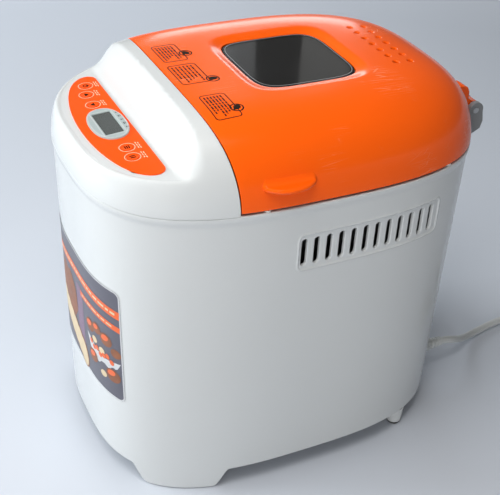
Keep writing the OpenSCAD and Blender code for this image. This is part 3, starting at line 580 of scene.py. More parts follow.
def make_plug():
    """Round plug body with a sunk face, a grip rim and a ribbed sleeve."""
    profile = [(0.5, 0), (12.5, 0), (14.5, 0.5), (17.2, 3.4), (18, 4.6), (18, 10), (17.4, 10.8), (17.4, 11.8),
               (18, 12.6), (18, 19.2), (17.2, 20), (0.5, 20)]
    verts, faces = lathed(profile, 64, (*PLUG_AT, 0))
    sleeve = [(7.2, 12), (7.2, 18.2), (6.6, 19.5)] + ribs(4, 20.0, 3.4, 6.3, 0.45, 2.0)
    sleeve += [(4.2, 34.6), (4.0, 36), (3.3, 36)]
    more, more_faces = lathed(sleeve, 32, (*PLUG_AT, PLUG_CORD_Z), False)
    faces += [tuple(len(verts) + i for i in f) for f in more_faces]
    return piece("plug_moulding", "case", "cord_plastic", verts + more, faces, replaces=["plug_body"])


def make_cord():
    """The mains lead: strain relief, cord with its coil, and an angled plug lying on its back."""
    relief, plug = make_relief(), make_plug()
    coil = [coil_point(a) for a in range(0, 1261, 10)]
    line = smooth_path(CORD_ROUTE + coil + CORD_TAIL, 3)
    cord_curve(line)


make_cord()


# ---- surfaces of the shells

def unit_radius(angle):
    c, s = np.abs(np.cos(angle)), np.abs(np.sin(angle))
    return (c ** PLAN_N + s ** PLAN_N) ** (-1 / PLAN_N)


def rho(x, y):
    return ((np.abs(x) / RIM_A) ** PLAN_N + (np.abs(y) / RIM_B) ** PLAN_N) ** (1 / PLAN_N)


def dome_height(share):
    return RIM_Z + DOME_H * np.maximum(0, 1 - np.minimum(1, share) ** DOME_M) ** DOME_E


def soft_min(a, b, width):
    near = np.maximum(width - np.abs(a - b), 0) / width
    return np.minimum(a, b) - near * near * width / 4


def deck_height(x, y, share):
    dome = dome_height(share)
    floor = PANEL_Z + (y - PANEL_Y) * tan(radians(PANEL_TILT))
    dish = soft_min(dome, floor + LIP_RISE * smoothstep((share - LIP_START) / LIP_WIDTH), BLEND)
    up = smoothstep((y - POCKET_FRONT_Y) / (POCKET_BACK_Y - POCKET_FRONT_Y))
    return dish * (1 - up) + dome * up


def lid_height(x, y, share):
    a, b, middle, power = WINDOW
    within = ((np.abs(x) / a) ** power + (np.abs(y - middle) / b) ** power) ** (1 / power)
    dip = 1 - smoothstep((within - 0.98) / (BEVEL_REACH - 0.98))
    return dome_height(share) - GLASS_DIP * dip


# The dome is unrolled from its top to a flat disc: the radius there is the length along the slope
SHARES = 1 - (1 - np.linspace(0, 1, 6001)) ** 3
MEAN_REACH = 130.0
SLOPE_STEPS = np.hypot(np.diff(SHARES) * MEAN_REACH, np.diff(dome_height(SHARES)))
UNROLLED = np.concatenate([[0], np.cumsum(SLOPE_STEPS)])


def to_disc(x, y):
    reach = np.interp(rho(x, y), SHARES, UNROLLED)
    return on_circle(reach, np.arctan2(y / RIM_B, x / RIM_A))


def polar(points):
    return np.hypot(points[:, 0], points[:, 1]), np.arctan2(points[:, 1], points[:, 0])


def from_disc(points, height):
    reach, angle = polar(points)
    share = np.interp(reach, UNROLLED, SHARES)
    x = share * RIM_A * unit_radius(angle) * np.cos(angle)
    y = share * RIM_B * unit_radius(angle) * np.sin(angle)
    return columns([x, y, height(x, y, share)])


def polar_normals(points, mapped, step=0.08):
    """Normals of a mapped disc, from steps along and across its radius."""
    reach, angle = polar(points)
    reach = np.maximum(reach, 2 * step)
    turn = step / reach
    along = mapped(on_circle(reach, angle)) - mapped(on_circle(reach - step, angle))
    across = mapped(on_circle(reach, angle + turn)) - mapped(on_circle(reach, angle - turn))
    return unit(np.cross(along, across))


def inside(points, loop):
    """Which points are within a closed loop."""
    x, y = points[:, 0][:, None], points[:, 1][:, None]
    a, b = loop, np.roll(loop, -1, axis=0)
    crosses = (a[:, 1] > y) != (b[:, 1] > y)
    span = b[:, 1] - a[:, 1]
    at = a[:, 0] + (y - a[:, 1]) / np.where(span == 0, 1e-12, span) * (b[:, 0] - a[:, 0])
    return (crosses & (x < at)).sum(axis=1) % 2 == 1


def on_sheet(points, loops):
    """Which points are within the outline, the first loop, and in none of the holes."""
    keep = inside(points, loops[0])
    for loop in loops[1:]:
        keep &= ~inside(points, loop)
    return keep


def loop_distance(points, loop):
    """Distance from each point to the nearest corner or edge of a loop."""
    best = np.full(len(points), np.inf)
    for p, q in zip(loop, np.roll(loop, -1, axis=0)):
        d = q - p
        t = np.clip(((points - p) @ d) / max(d @ d, 1e-12), 0, 1)
        best = np.minimum(best, np.hypot(*(points - p - t[:, None] * d).T))
    return best


def wound(loops):
    """The outline anticlockwise and the holes clockwise."""
    turned = []
    for k, loop in enumerate(np.array(each, float) for each in loops):
        area = np.sum(loop[:, 0] * np.roll(loop[:, 1], -1) - np.roll(loop[:, 0], -1) * loop[:, 1])
        turned.append(loop if (area > 0) == (k == 0) else loop[::-1])
    return turned


def cut_sheet(loops, grid):
    """A flat sheet with holes: points, anticlockwise triangles, and where each point that went in is now."""
    edges, start = [], 0
    for loop in loops:
        count = len(loop)
        edges += [(start + i, start + (i + 1) % count) for i in range(count)]
        start += count
    flat = [Vector(p) for p in np.concatenate([*loops, grid])]
    points, _, triangles, source, _, _ = delaunay_2d_cdt(flat, edges, [], 0, 1e-6, True)
    points = np.array([tuple(p) for p in points])
    triangles = np.array([t for t in triangles if len(t) == 3])
    triangles = triangles[on_sheet(points[triangles].mean(axis=1), loops)]
    first, second, third = (points[triangles[:, k]] for k in range(3))
    (ax, ay), (bx, by) = (second - first).T, (third - first).T
    clockwise = ax * by < ay * bx
    triangles[clockwise] = triangles[clockwise][:, ::-1]
    return points, triangles, {origin: i for i, origins in enumerate(source) for origin in origins}


def band(first, second):
    """Quads between two loops of the same length."""
    following, after = np.roll(first, -1), np.roll(second, -1)
    return [tuple(int(v) for v in q) for q in zip(first, second, after, following)]


ROUND_STEPS = 4


def rounded_rim(radius, thickness=SHELL_T):
    """An edge that rolls over by the radius and then goes down to the inner skin: (outwards, down) pairs."""
    turns = [pi / 2 * k / ROUND_STEPS for k in range(1, ROUND_STEPS + 1)]
    return [(radius * sin(t), radius * (1 - cos(t))) for t in turns] + [(radius, thickness)]


def shell(name, body, slot, mapped, loops, rims, grid, gap, node):
    """A sheet with two skins: loops are its outline and holes on the flat domain, each with its own rim."""
    loops = wound(loops)
    grid = np.concatenate(grid)
    grid = grid[on_sheet(grid, loops)]
    clear = np.ones(len(grid), bool)
    for loop in loops:
        low, high = loop.min(axis=0) - gap, loop.max(axis=0) + gap
        box = ((grid > low) & (grid < high)).all(axis=1)
        clear[box] &= loop_distance(grid[box], loop) > gap
    points, triangles, index = cut_sheet(loops, grid[clear])
    skin = mapped(points)
    normal = polar_normals(points, mapped)
    corner = skin[triangles]
    facing = np.cross(corner[:, 1] - corner[:, 0], corner[:, 2] - corner[:, 0])
    flip = (facing * normal[triangles[:, 0]]).sum(axis=1) < 0
    triangles[flip] = triangles[flip][:, ::-1]
    verts, normals = [skin, skin - normal * SHELL_T], [normal, -normal]
    total = len(skin)
    faces = [tuple(t) for t in triangles.tolist()]
    faces += [(a + total, c + total, b + total) for a, b, c in triangles.tolist()]
    made, start = 2 * total, 0
    for loop, rim in zip(loops, rims):
        count = len(loop)
        ids = np.array([index[start + i] for i in range(count)])
        start += count
        here, n = skin[ids], normal[ids]
        ahead = unit(np.roll(here, -1, axis=0) - here)
        out = unit(np.cross(ahead + np.roll(ahead, 1, axis=0), n))
        mitre = 1 / np.clip((out * np.cross(ahead, n)).sum(axis=1), 0.5, 1)[:, None]
        previous = ids
        for k, (away, down) in enumerate(rim, 1):
            verts.append(here + out * mitre * away - n * down)
            tilt = min(1.0, k / ROUND_STEPS) * pi / 2
            normals.append(n * cos(tilt) + out * sin(tilt))
            current = made + np.arange(count)
            made += count
            faces += band(previous, current)
            previous = current
        faces += band(previous, ids + total)
    return piece(name, body, slot, np.concatenate(verts), faces, replaces=[node],
                 normals=np.concatenate(normals))


def corner_box(box, r, count=5):
    """Outline of a box (x0, x1, y0, y1) with round corners, anticlockwise from its right upper corner."""
    x0, x1, y0, y1 = box
    points = []
    centres = ((x1 - r, y1 - r), (x0 + r, y1 - r), (x0 + r, y0 + r), (x1 - r, y0 + r))
    for quarter, (cx, cy) in enumerate(centres):
        for i in range(count):
            a = radians(90 * quarter + 90 * i / (count - 1))
            points.append((cx + r * cos(a), cy + r * sin(a)))
    return points


def grown(box, by):
    return (box[0] - by, box[1] + by, box[2] - by, box[3] + by)


def stepped(loop, spacing):
    """The same closed loop with more points along its straight stretches."""
    loop = np.array(loop)
    points = []
    for p, q in zip(loop, np.roll(loop, -1, axis=0)):
        n = max(1, int(np.hypot(*(q - p)) / spacing))
        points += [p + (q - p) * i / n for i in range(n)]
    return np.array(points)


def oval_loop(a, b, middle, power, count):
    t = full_turn(count)
    r = (np.abs(np.cos(t) / a) ** power + np.abs(np.sin(t) / b) ** power) ** (-1 / power)
    return columns([r * np.cos(t), middle + r * np.sin(t)])


def circle_loop(x, y, r, count):
    return on_circle(r, full_turn(count)) + (x, y)


# ---- housing

# The wall is unrolled to a flat ring round a core, with the rim innermost
CORE = 130.0


def half_a(z):
    """Half width of the wall at a height."""
    return BASE_A + (RIM_A - LIP - BASE_A) * z / RIM_Z


def half_b(z):
    """Half depth of the wall at a height."""
    return BASE_B + (RIM_B - LIP - BASE_B) * z / RIM_Z


def wall_point(angle, z, out=0.0):
    r = unit_radius(angle)
    return columns([(half_a(z) + out) * r * np.cos(angle), (half_b(z) + out) * r * np.sin(angle), z])


def rect_distance(u, v, box, corner):
    """Signed distance from the outline of a rounded rectangle, negative inside."""
    u0, u1, v0, v1 = box
    du = np.abs(u - (u0 + u1) / 2) - (u1 - u0) / 2 + corner
    dv = np.abs(v - (v0 + v1) / 2) - (v1 - v0) / 2 + corner
    return np.hypot(np.maximum(du, 0), np.maximum(dv, 0)) + np.minimum(np.maximum(du, dv), 0) - corner


def grille_relief(y, z):
    """The grille lies in a shallow recess with a raised line round it."""
    d = rect_distance(y, z, GRILLE, GRILLE_CORNER)
    return 0.45 * np.exp(-(d / 0.75) ** 2) - 0.35 * (1 - smoothstep((d + 1.6) / 1.6))


def from_wall(points):
    reach, angle = polar(points)
    z = RIM_Z - (reach - CORE)
    plain = wall_point(angle, z)
    relief = np.where(np.abs(plain[:, 0]) > 80, grille_relief(plain[:, 1], z), 0.0)
    return wall_point(angle, z, relief + LIP * smoothstep((z - 240.5) / 5))


def to_ring(z, angle):
    return on_circle(CORE + RIM_Z - z, angle)


def to_wall(yz, side):
    """Flat-domain points of points (y, z) on the right (1) or left (-1) long wall."""
    y, z = yz[:, 0], yz[:, 1]
    share = y / half_b(z)
    return to_ring(z, np.arctan2(share, side * (1 - np.abs(share) ** PLAN_N) ** (1 / PLAN_N)))


def wall_foot(angle):
    """Height of the lower edge: the skirt, with two corner feet at the front."""
    r = unit_radius(angle)
    x, y = BASE_A * r * np.cos(angle), BASE_B * r * np.sin(angle)
    z = np.maximum((y + 77) * 1.8 - 1, (78 - np.abs(x)) * 2 - 1)
    z = FOOT_Z + np.logaddexp(0, (z - FOOT_Z) / 1.2) * 1.2
    return SKIRT_Z - np.logaddexp(0, (SKIRT_Z - z) / 1.2) * 1.2 + 0.02


def slot_outline(y, edge):
    """Outline of an upright slot with round ends, grown by the edge."""
    half = SLOT_W / 2 + edge
    low, high = SLOT_Z - edge + half, SLOT_Z + SLOT_H + edge - half
    arc = np.linspace(0, pi, 9)
    top = [(y + half * cos(a), high + half * sin(a)) for a in arc]
    bottom = [(y - half * cos(a), low - half * sin(a)) for a in arc]
    levels = np.linspace(high, low, 8)[1:-1]
    return np.array(top + [(y - half, z) for z in levels] + bottom + [(y + half, z) for z in levels[::-1]])


def make_housing():
    foot_edge, rim_edge, slot_edge, hole_edge = 0.7, 1.2, 0.8, 0.6
    turn = full_turn(900)
    loops = [to_ring(wall_foot(turn) + foot_edge, turn), to_ring(WALL_TOP, full_turn(240))]
    rims = [rounded_rim(foot_edge), rounded_rim(rim_edge, 3.4)]
    for side in (-1, 1):
        for i in range(SLOT_COUNT):
            loops.append(to_wall(slot_outline(SLOT_Y0 + SLOT_PITCH * i, slot_edge), side))
            rims.append(rounded_rim(slot_edge))
    hole_x, hole_z = circle_loop(CORD_X, CORD_Z, CORD_HOLE_R, 40).T
    share = hole_x / half_a(hole_z)
    loops.append(to_ring(hole_z, np.arctan2((1 - share ** PLAN_N) ** (1 / PLAN_N), share)))
    rims.append(rounded_rim(hole_edge))
    grid = []
    around = 180
    levels = [[3, 6, 9, 12, 15, 18, 21, 25, 30], np.arange(36, 236, 7.5), np.arange(238.5, 246.2, 1.1)]
    for k, z in enumerate(np.concatenate(levels)):
        grid.append(to_ring(z, full_turn(around) + (k % 2) * pi / around))
    ys, zs = np.meshgrid(np.arange(-22, 95, SLOT_PITCH / 4), np.arange(197, 223, 2.2))
    for side in (-1, 1):
        for d in (-2.4, -1.6, -0.8, -0.35, 0, 0.35, 0.8, 1.6, 2.6):
            r = max(0.6, GRILLE_CORNER + d)
            outline = corner_box(grown(GRILLE, d), r, max(3, int(r * 1.57 / 1.6) + 1) + 1)
            grid.append(to_wall(stepped(outline, 1.6), side))
        grid.append(to_wall(columns([ys.ravel(), zs.ravel()]), side))
    shell("housing_shell", "case", "white_case", from_wall, loops, rims, grid, 0.5, "body_shell")


make_housing()


# ---- lid and deck

def split_y(x, end_y):
    """The line between deck and lid, which ends on the rim at end_y and bows to the front."""
    end_x = RIM_A * (1 - (abs(end_y) / RIM_B) ** PLAN_N) ** (1 / PLAN_N)
    return end_y - SPLIT_BOW * (1 - np.minimum(1, np.abs(x) / end_x) ** 6)


def arc_point(reach, angle):
    """Plan position of a point on the unrolled disc."""
    return from_disc(np.array([[reach * cos(angle), reach * sin(angle)]]), lambda x, y, s: x)[0][:2]


def split_outline(reach, end_y, shift, front):
    """The lid's or the deck's outline on the disc: the rim arc at a reach, closed by the split line."""
    low, high = -1.2, 0.0
    for _ in range(40):
        corner = (low + high) / 2
        x, y = arc_point(reach, corner)
        if y < split_y(x, end_y) + shift:
            low = corner
        else:
            high = corner
    corner = (low + high) / 2
    xs = arc_point(reach, corner)[0] * np.cos(np.linspace(0, pi, 130))[1:-1]
    if front:
        angles = np.linspace(pi - corner, 2 * pi + corner, 170)
    else:
        angles = np.linspace(corner, pi - corner, 260)
        xs = -xs
    return np.concatenate([on_circle(reach, angles), to_disc(xs, split_y(xs, end_y) + shift)])


def disc_grid(reaches, around):
    return [on_circle(reach, full_turn(around) + (k % 2) * pi / around) for k, reach in enumerate(reaches)]


def window_loop(grow, count):
    return oval_loop(WINDOW[0] + grow, WINDOW[1] + grow, *WINDOW[2:], count)


def make_lid():
    edge, hole_edge = 0.55, 0.6
    share_low = float(np.interp(-LID_Z, -dome_height(SHARES), SHARES))
    reach_low = float(np.interp(share_low, SHARES, UNROLLED))
    loops = [split_outline(reach_low - edge, SPLIT_RIM_Y + SPLIT_GAP / 2, edge, False),
             to_disc(*window_loop(hole_edge, 160).T)]
    rims = [rounded_rim(edge), rounded_rim(hole_edge)]
    for row in range(2):
        for i in range(7):
            hole = circle_loop((i - 3) * STEAM_PITCH_X, STEAM_Y + STEAM_PITCH_Y * row, STEAM_R, 24)
            loops.append(to_disc(*hole.T))
            rims.append([(0.35, 0.1), (0.7, 0.35), (1.0, 0.8), (1.1, 1.3), (1.1, SHELL_T)])
    grid = disc_grid(np.concatenate([np.arange(4, 100, 4.5), np.arange(100, reach_low, 2.4)]), 200)
    grid += [to_disc(*window_loop(hole_edge + grow, 140).T) for grow in np.linspace(1.0, 13.0, 11)]
    shell("lid_dome", "lid", "orange_lid", lambda p: from_disc(p, lid_height), loops, rims, grid, 0.9,
          "lid_shell")


def make_deck():
    edge = 0.3
    a, b, middle, power = DECK_HOLE
    loops = [split_outline(UNROLLED[-1] - edge, SPLIT_RIM_Y - SPLIT_GAP / 2, -edge, True),
             to_disc(*oval_loop(a + edge, b + edge, middle, power, 120).T)]
    rims = [rounded_rim(edge)] * 2
    grid = disc_grid(np.arange(30, UNROLLED[-1], 1.9), 360)
    shell("deck_shell", "case", "white_case", lambda p: from_disc(p, deck_height), loops, rims, grid, 0.8,
          "top_deck")


make_lid()
make_deck()


# ---- prints on curved surfaces

def on_dome(x, y, lift, step=0.2):
    """Plan points on the outside of the lid, a little above it."""
    near = ((x, y), (x + step, y), (x, y + step))
    here, ahead, beside = (columns([u, v, lid_height(u, v, rho(u, v))]) for u, v in near)
    return here + lift * unit(np.cross(ahead - here, beside - here))


def on_front_wall(x, z, lift):
    y = -half_b(z) * (1 - np.minimum(1, np.abs(x) / half_a(z)) ** PLAN_N) ** (1 / PLAN_N)
    return columns([x, y - lift, z])


def on_panel(u, v, lift):
    """Points of the panel's own plane, with its origin in the middle of the panel."""
    c, s = cos(radians(PANEL_TILT)), sin(radians(PANEL_TILT))
    return columns([u, PANEL_Y + v * c - lift * s, PANEL_Z + v * s + lift * c])


class Print:
    """Thin ink shapes laid on a surface, gathered into one mesh."""

    def __init__(self, place, lift, step=2.0, upright=False):
        self.place, self.lift, self.step = place, lift, step
        self.winding = -1 if upright else 1
        self.verts, self.faces = [], []

    def add(self, points, faces):
        base = len(self.verts)
        self.verts += list(self.place(*np.array(points, float).T, self.lift))
        self.faces += [tuple(base + i for i in f[::self.winding]) for f in faces]

    def line(self, points, width, closed=False):
        """A ribbon along a polyline, cut into short steps so that it follows the surface."""
        pts = [np.array(p, float) for p in points]
        if closed:
            pts.append(pts[0])
        fine = [pts[0]]
        for a, b in zip(pts, pts[1:]):
            count = max(1, ceil(np.linalg.norm(b - a) / self.step))
            fine += [a + (b - a) * i / count for i in range(1, count + 1)]
        fine = np.array(fine)
        ahead = np.gradient(fine, axis=0)
        if closed:
            ahead[0] = ahead[-1] = fine[1] - fine[-2]
        ahead = unit(ahead)
        side = columns([-ahead[:, 1], ahead[:, 0]]) * width / 2
        n = len(fine)
        faces = [(i, i + 1, n + i + 1, n + i) for i in range(n - 1)]
        self.add(np.concatenate([fine - side, fine + side]), faces)

    def ring(self, x, y, r, width, count=28):
        self.line(circle_loop(x, y, r, count), width, True)

    def patch(self, outline, layers=3):
        """A filled shape, seen whole from its middle."""
        outline = np.array(outline, float)
        middle = outline.mean(axis=0)
        points, n = [middle], len(outline)
        for k in range(1, layers + 1):
            points += list(middle + (outline - middle) * k / layers)
        faces = [(0, 1 + i, 1 + (i + 1) % n) for i in range(n)]
        for k in range(layers - 1):
            a, b = 1 + k * n, 1 + (k + 1) * n
            faces += [(a + i, b + i, b + (i + 1) % n, a + (i + 1) % n) for i in range(n)]
        self.add(points, faces)

    def disc(self, x, y, a, b, count=24, turn=0.0):
        t = full_turn(count)
        u, v = a * np.cos(t), b * np.sin(t)
        c, s = cos(turn), sin(turn)
        self.patch(columns([x + u * c - v * s, y + u * s + v * c]))

    def done(self, name, body, material, slot="label_print"):
        return piece(name, body, slot, self.verts, self.faces, material)


# Each hint box (x0, x1, y0, y1) and the middle of its icon
HINTS = [((-47, -18, -71, -53), (-29, -51)), ((-11, 20, -72.5, -52), (17, -49.5)),
         ((40, 72, -70, -52), (62, -52))]
HINT_ROWS = 6


def make_hints():
    """Three outlined hint boxes with rows of dashes for lettering and a round icon each."""
    ink = Print(on_dome, 0.06)
    for number, (box, (icon_x, icon_y)) in enumerate(HINTS):
        x0, x1, y0, y1 = box
        ink.line(corner_box(box, 2.5), 0.75, True)
        for row in range(HINT_ROWS):
            y = y0 + 2.6 + (y1 - y0 - 6.4) * row / (HINT_ROWS - 1)
            x, k = x0 + 2.6, 0
            end = x1 - 2.4 - (row * 5 + number * 3) % 4 * 2.2
            while x < end:
                dash = 1.8 + (k * 7 + row * 5 + number) % 5 * 0.75
                ink.line([(x, y), (min(x + dash, end), y)], 1.2)
                x += dash + 0.75
                k += 1
        ink.ring(icon_x, icon_y, 4.4, 1.0)
        ink.disc(icon_x - 0.4, icon_y + 0.3, 3.3, 2.4, turn=0.5 + number)
        ink.disc(icon_x + 1.6, icon_y - 2.0, 1.3, 0.9, turn=number)
    ink.done("lid_hints", "lid", "print_dark")


def make_glass_line():
    """A thin grey border printed on the window, just inside the edge of its opening."""
    ink = Print(on_dome, 0.05)
    ink.line(window_loop(-2.0, 120), 0.6, True)
    ink.done("window_border", "lid", "hinge_grey")


# Label: its box, and each band's height, rise, two ends and width
LABEL = (-66, 66, 76, 177)
LABEL_BANDS = [(156, 3, -60, 65, 7.0), (143.5, 1.5, 10, 65, 5.0)]


def band_height(x, z, rise, start, end):
    return z + rise * np.sin((x - start) / (end - start) * pi * 0.85 + 0.25)


def draw_sheet(layer):
    layer.patch(stepped(corner_box(LABEL, 5, 7), 3.48), 14)


def draw_edge(layer):
    layer.line(corner_box(grown(LABEL, -0.6), 4.5, 7), 1.1, True)


def draw_plum(layer):
    layer.patch(corner_box((0, 14, 84, 148), 2), 6)


def draw_bands(layer):
    for *wave, width in LABEL_BANDS:
        xs = np.linspace(*wave[2:], 40)
        layer.line(list(zip(xs, band_height(xs, *wave))), width)


def draw_dashes(layer):
    for *wave, width in LABEL_BANDS:
        x, k = wave[2] + 4, 0
        while x < wave[3] - 8:
            after = x + 3.2 + (k * 5) % 4 * 1.3
            layer.line([(x, band_height(x, *wave)), (after, band_height(after, *wave))], width * 0.28)
            x = after + 1.6
            k += 1


def draw_slices(layer, low, a, b):
    for i in range(6):
        layer.disc(-34 + 8.5 * i, low - 4.2 * i, a, b, 30, 0.5)


def draw_crusts(layer):
    """The loaf behind its slices, and the buns."""
    loaf = [(-52, 124), (-44, 143), (-30, 150), (-12, 148), (-2, 138), (0, 120), (-14, 102), (-42, 108)]
    layer.patch(loaf, 6)
    draw_slices(layer, 109, 10, 14)
    for x, z, r in ((27, 126, 7), (38, 130, 6), (50, 127, 7), (60, 120, 5), (30, 99, 7), (56, 97, 7.5)):
        layer.disc(x, z, r, r * 0.82, 24, 0.2)


def draw_crumbs(layer):
    draw_slices(layer, 108.4, 8.2, 12.2)
    for x, z in ((34, 117), (44, 113), (45, 92)):
        layer.disc(x, z, 4, 3, 20, 0.3)


def draw_glow(layer):
    for x, z, r in ((26, 127.5, 4.4), (37, 131, 3.6), (49, 128.5, 4.4), (29, 100.5, 4.2), (54.5, 99, 4.4)):
        layer.disc(x, z, r, r * 0.6, 20, 0.4)
    for i in range(7):
        layer.disc(28 + 4.6 * i, 112 - (i * 3) % 5, 2.4, 2.4, 14)


def draw_bowl(layer):
    layer.patch([(21, 116), (64, 112), (61, 106), (53, 101), (38, 99), (26, 105)], 5)


# Name, height above the wall, colour and shapes of each layer
LABEL_LAYERS = [("sheet", 0.3, "ground", draw_sheet), ("edge", 0.34, "edge", draw_edge),
                ("plum_panel", 0.38, "plum", draw_plum), ("bands", 0.42, "orange", draw_bands),
                ("band_dashes", 0.46, "cream", draw_dashes), ("bowl", 0.4, "edge", draw_bowl),
                ("crusts", 0.44, "brown", draw_crusts), ("crumbs", 0.48, "cream", draw_crumbs),
                ("glow", 0.5, "orange", draw_glow)]


def make_front_label():
    """The printed label: a grey ground with two orange bands, a cut loaf and a bowl of buns."""
    for name, lift, colour, draw in LABEL_LAYERS:
        layer = Print(on_front_wall, lift, 3.0, True)
        draw(layer)
        made = layer.done("label_" + name, "case", "label_" + colour)
        if name == "sheet":
            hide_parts("front_label")


make_hints()
make_glass_line()
make_front_label()


# ---- control panel

OVERLAY_A, OVERLAY_B, OVERLAY_CORNER, OVERLAY_Y = 77.0, 27.4, 6.7, -112.0


def overlay_outline(inset):
    """Half an ellipse in front and a straight rear edge with round corners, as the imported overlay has."""
    middle, r = OVERLAY_Y - PANEL_Y, OVERLAY_CORNER - inset
    points = []
    for i in range(81):
        t = radians(180 + 2.25 * i)
        points.append(((OVERLAY_A - inset) * cos(t), middle + (OVERLAY_B - inset) * sin(t)))
    corner_x = OVERLAY_A - OVERLAY_CORNER
    for centre, steps in ((corner_x, range(1, 9)), (-corner_x, range(8, 16))):
        for i in steps:
            t = radians(90 * i / 8)
            points.append((centre + r * cos(t), middle + r * sin(t)))
    return points


def plate(name, loops, levels, slot, node):
    """A plate in the panel's plane: loops are its outline and holes, levels the (outwards, height) pairs."""
    loops = wound(loops)
    points, triangles, index = cut_sheet(loops, np.empty((0, 2)))
    verts = list(on_panel(*points.T, levels[0][1]))
    faces = [tuple(t) for t in triangles.tolist()]
    start = 0
    for loop in loops:
        n = len(loop)
        ahead = np.roll(loop, -1, axis=0) - np.roll(loop, 1, axis=0)
        away = unit(columns([ahead[:, 1], -ahead[:, 0]]))
        previous = np.array([index[start + i] for i in range(n)])
        start += n
        for out, height in levels[1:]:
            current = len(verts) + np.arange(n)
            verts += list(on_panel(*(loop + away * out).T, height))
            faces += band(current, previous)
            previous = current
    piece(name, "case", slot, verts, faces, replaces=[node])


def make_overlay():
    edge = [(0, 0.8), (0.1, 0.77), (0.17, 0.7), (0.2, 0.6), (0.2, 0.0)]
    holes = [circle_loop(x, y, KEY_R + 0.5, 40) for x, y in KEY_SPOTS]
    holes.append(corner_box(grown(LCD_BOX, 0.2), 0.6, 4))
    plate("overlay_sheet", [overlay_outline(0.2)] + holes, edge, "orange_overlay", "control_overlay")


def make_bezel():
    """The raised oval round the display, with two white lines and a row of small marks."""
    rim = [(0, 1.95), (0.25, 1.9), (0.45, 1.75), (0.6, 1.5), (0.6, 0.8)]
    outline = oval_loop(22.1, 12.4, LCD_Y, 2.3, 96)
    plate("bezel", [outline, corner_box(grown(LCD_BOX, 0.6), 0.9, 5)], rim, "grey_trim", "lcd_bezel")
    lines = Print(on_panel, 2.0)
    lines.line(corner_box(grown(LCD_BOX, 1.3), 1, 4), 0.5, True)
    lines.line(oval_loop(21.7, 12.0, LCD_Y, 2.3, 80), 0.5, True)
    lines.done("bezel_lines", "case", "white_case", "white_case")
    marks = Print(on_panel, 2.0)
    for i, width in enumerate((1.6, 2.4, 1.8, 3.0, 2.0)):
        x = -11.5 + 5.7 * i
        marks.line([(x - width / 2, 8.9), (x + width / 2, 8.9)], 1.0)
        marks.line([(x - width / 2, 10.1), (x + width / 3, 10.1)], 0.5)
    marks.done("bezel_marks", "case", "print_grey")


def make_panel_print():
    """A pale ring round each key, with two rows of dashes above it."""
    pale = Print(on_panel, 0.84)
    for x, y in KEY_SPOTS:
        pale.ring(x, y, KEY_R + 1.15, 0.42, 36)
        for row in range(2):
            for k in range(3):
                left, height = x - 4.2 + 3.1 * k + row * 0.8, y + 7.0 + 1.5 * row
                pale.line([(left, height), (left + 2.1, height)], 0.62)
    pale.done("panel_print", "case", "print_pale")


KEY_PROFILE = [(0.02, 0.82), (1.2, 0.84), (2.4, 0.9), (3.2, 0.98), (3.6, 1.06), (3.85, 1.08), (4.05, 1.0),
               (4.15, 0.85), (4.18, 0.5), (4.18, -5.0), (5.2, -5.05), (5.2, -6.0), (0.02, -6.0)]
KEY_STEPS = 48


def make_key(number, x, y):
    """A round key with a slightly hollow top and a small dark sign on it."""
    body = "key%d_body" % number
    rings = [on_panel(*circle_loop(x, y, r, KEY_STEPS).T, height) for r, height in KEY_PROFILE]
    piece("key_%d_cap" % number, body, "orange_overlay", np.concatenate(rings),
          ring_faces(len(rings), KEY_STEPS, True), replaces=["key_%d" % number])
    sign = Print(on_panel, 1.02)
    if number == 1:
        sign.ring(x, y, 1.7, 0.75)
        sign.line([(x, y + 0.4), (x, y + 2.6)], 0.8)
    elif number in (2, 3):
        up = 1 if number == 2 else -1
        sign.patch([(x - 2.3 * up, y - 1.2 * up), (x + 2.3 * up, y - 1.2 * up), (x, y + 2.1 * up)])
    elif number == 4:
        for k in (-1, 0, 1):
            sign.line([(x - 2.0, y + k * 1.4), (x + 2.0, y + k * 1.4)], 0.8)
    else:
        for k in (-1, 1):
            sign.line([(x + 1.1 * k, y - 1.9), (x + 1.1 * k, y + 1.9)], 1.0)
    sign.done("key_%d_sign" % number, body, "print_dark")


make_overlay()
make_bezel()
make_panel_print()
for key_number, (key_x, key_y) in enumerate(KEY_SPOTS, 1):
    make_key(key_number, key_x, key_y)


# ---- lift tabs

TAB_ROOT, TAB_SLICES, TAB_POINTS = 104.0, 41, 24


def dome_x(y, z):
    """Half width of the lid's outside at a place along it and a height."""
    share = (1 - (max(0.0, z - RIM_Z) / DOME_H) ** (1 / DOME_E)) ** (1 / DOME_M)
    return RIM_A * max(0.0, share ** PLAN_N - (abs(y) / RIM_B) ** PLAN_N) ** (1 / PLAN_N)


def tab_section(side, y):
    """One slice of the tab: it swells out of the wall, turns round a full nose and goes back under."""
    bow = sqrt(max(0.0, 1 - ((y - TAB_Y) / TAB_HALF) ** 2))
    wall, under = dome_x(y, TAB_HIGH), dome_x(y, TAB_LOW - 0.8)
    tip = TAB_ROOT + (TAB_REACH - TAB_ROOT) * bow
    reach = max(0.3, tip - wall)
    middle, half = (TAB_HIGH + TAB_LOW) / 2, (TAB_HIGH - TAB_LOW) / 2
    nose = min(half, reach)
    blend = min(4.2, reach * 1.1)
    points = [(wall - 3.0, TAB_HIGH + 4.5)]
    for i in range(8):
        u = i / 7
        z = TAB_HIGH + blend * (1 - u) ** 2
        points.append((dome_x(y, z) * (1 - u ** 2) + (wall + 0.75 * blend) * u ** 2 + 0.03, z))
    points = [p for p in points if p[0] <= tip - nose * 0.9 or p[1] > TAB_HIGH + 0.2]
    for i in range(13):
        a = pi / 2 - pi * i / 12
        points.append((tip - nose + nose * cos(a), middle + half * sin(a)))
    points += [(min(under + 0.9, tip - nose), TAB_LOW + 0.02), (under + 0.05, TAB_LOW - 0.9),
               (under - 3.0, TAB_LOW - 1.2)]
    return resampled([(side * x, y, z) for x, z in points], TAB_POINTS)


